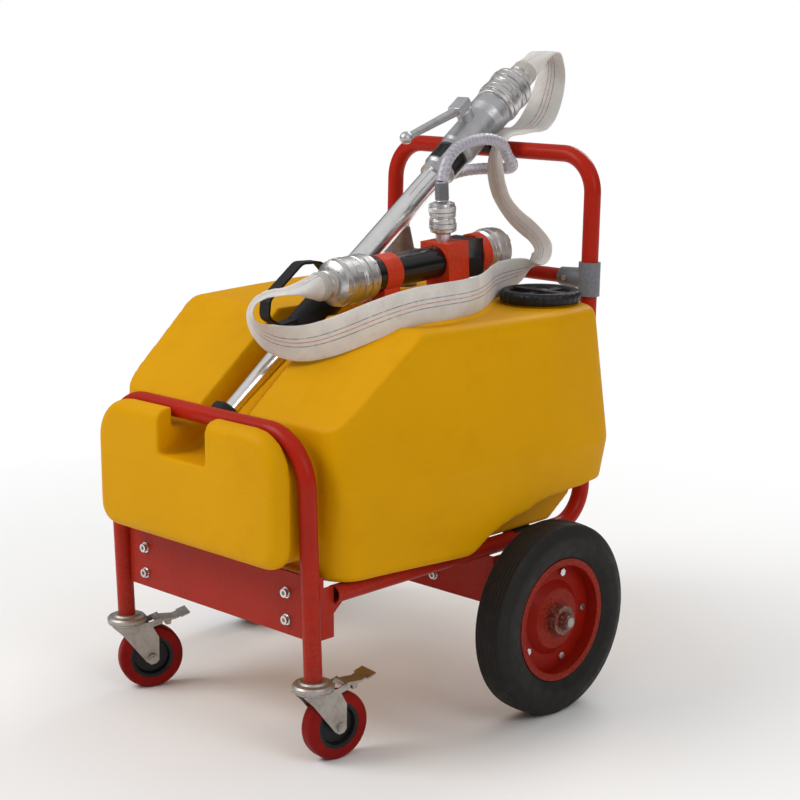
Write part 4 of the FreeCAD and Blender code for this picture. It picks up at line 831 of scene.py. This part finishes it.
def camera():
    data = bpy.data.cameras.new("camera")
    data.lens = 84.087
    data.sensor_width = 36.0
    data.shift_x = -1.65 / 800
    data.shift_y = 1.15 / 800
    data.clip_end = 60
    obj = bpy.data.objects.new("camera", data)
    bpy.context.scene.collection.objects.link(obj)
    azimuth, elevation, roll = (math.radians(a) for a in (44.293, 12.089, -0.046))
    back = Vector((math.sin(azimuth) * math.cos(elevation), -math.cos(azimuth) * math.cos(elevation),
                   math.sin(elevation)))
    target = at(164.4, 368.4, 635.2)
    right = Vector((math.cos(azimuth), math.sin(azimuth), 0))
    up = back.cross(right)
    turn = Matrix((right, up, back)).transposed().to_4x4() @ Matrix.Rotation(roll, 4, "Z")
    obj.matrix_world = Matrix.Translation(target + back * 3.7999) @ turn
    bpy.context.scene.camera = obj


def area_light(name, place, target, size, power):
    data = bpy.data.lights.new(name, "AREA")
    data.shape = "DISK"
    data.size = size
    data.energy = power
    obj = bpy.data.objects.new(name, data)
    bpy.context.scene.collection.objects.link(obj)
    aim = Vector(target) - Vector(place)
    obj.matrix_world = Matrix.Translation(place) @ aim.to_track_quat("-Z", "Y").to_matrix().to_4x4()


def world():
    """White for the camera; for reflections a bright ceiling over a darker band and pale floor."""
    surround = bpy.data.worlds.new("studio")
    surround.use_nodes = True
    tree = surround.node_tree
    tree.nodes.clear()
    out = tree.nodes.new("ShaderNodeOutputWorld")
    mix = tree.nodes.new("ShaderNodeMixShader")
    path = tree.nodes.new("ShaderNodeLightPath")
    white = tree.nodes.new("ShaderNodeBackground")
    white.inputs["Color"].default_value = (1, 1, 1, 1)
    white.inputs["Strength"].default_value = 1.0
    room = tree.nodes.new("ShaderNodeBackground")
    coords = tree.nodes.new("ShaderNodeTexCoord")
    split = tree.nodes.new("ShaderNodeSeparateXYZ")
    ramp = tree.nodes.new("ShaderNodeValToRGB")
    stops = [(0.0, 0.42), (0.46, 0.34), (0.53, 0.10), (0.62, 0.16), (0.74, 0.72), (1.0, 1.0)]
    ramp.color_ramp.elements.remove(ramp.color_ramp.elements[0])
    ramp.color_ramp.elements[0].position = stops[0][0]
    ramp.color_ramp.elements[0].color = (stops[0][1],) * 3 + (1,)
    for position, level in stops[1:]:
        stop = ramp.color_ramp.elements.new(position)
        stop.color = (level, level, level, 1)
    scale = tree.nodes.new("ShaderNodeMapRange")
    scale.inputs["From Min"].default_value = -1
    link = tree.links.new
    link(coords.outputs["Generated"], split.inputs[0])
    link(split.outputs[2], scale.inputs["Value"])
    link(scale.outputs["Result"], ramp.inputs["Fac"])
    link(ramp.outputs["Color"], room.inputs["Color"])
    room.inputs["Strength"].default_value = 0.62
    link(path.outputs["Is Camera Ray"], mix.inputs["Fac"])
    link(room.outputs[0], mix.inputs[1])
    link(white.outputs[0], mix.inputs[2])
    link(mix.outputs[0], out.inputs["Surface"])
    bpy.context.scene.world = surround


def floor():
    mesh = bpy.data.meshes.new("studio_floor")
    mesh.from_pydata([(-9, -9, 0), (9, -9, 0), (9, 9, 0), (-9, 9, 0)], [], [(0, 1, 2, 3)])
    obj = bpy.data.objects.new("studio_floor", mesh)
    bpy.context.scene.collection.objects.link(obj)
    m = Nodes("pale_floor")
    m.set(Roughness=0.8, Specular_IOR_Level=0.1, Emission_Color=(1, 1, 1, 1))
    x, y, _ = m.split(m.coords)
    reach = m.math("SQRT", m.math("ADD", m.math("MULTIPLY", x, x), m.math("MULTIPLY", y, y)))
    fade = m.ramp(reach, 0.75, 2.3)
    pale = m.mix(m.ramp(m.noise(1.2, 2.0), 0.3, 0.7), (0.90, 0.90, 0.895), (0.93, 0.93, 0.925))
    m.color(m.mix(fade, pale, (0.0, 0.0, 0.0)))
    m.link(fade, m.shader.inputs["Emission Strength"])
    mesh.materials.append(m.material)


camera()
world()
floor()
area_light("key", (-1.6, -2.6, 3.2), (0, 0, 0.6), 2.2, 78)
area_light("fill", (3.4, -0.6, 2.4), (0, 0, 0.5), 2.0, 30)
area_light("rim", (-0.6, 3.0, 2.8), (0, 0, 0.7), 1.8, 46)
bpy.context.scene.view_settings.view_transform = "Standard"
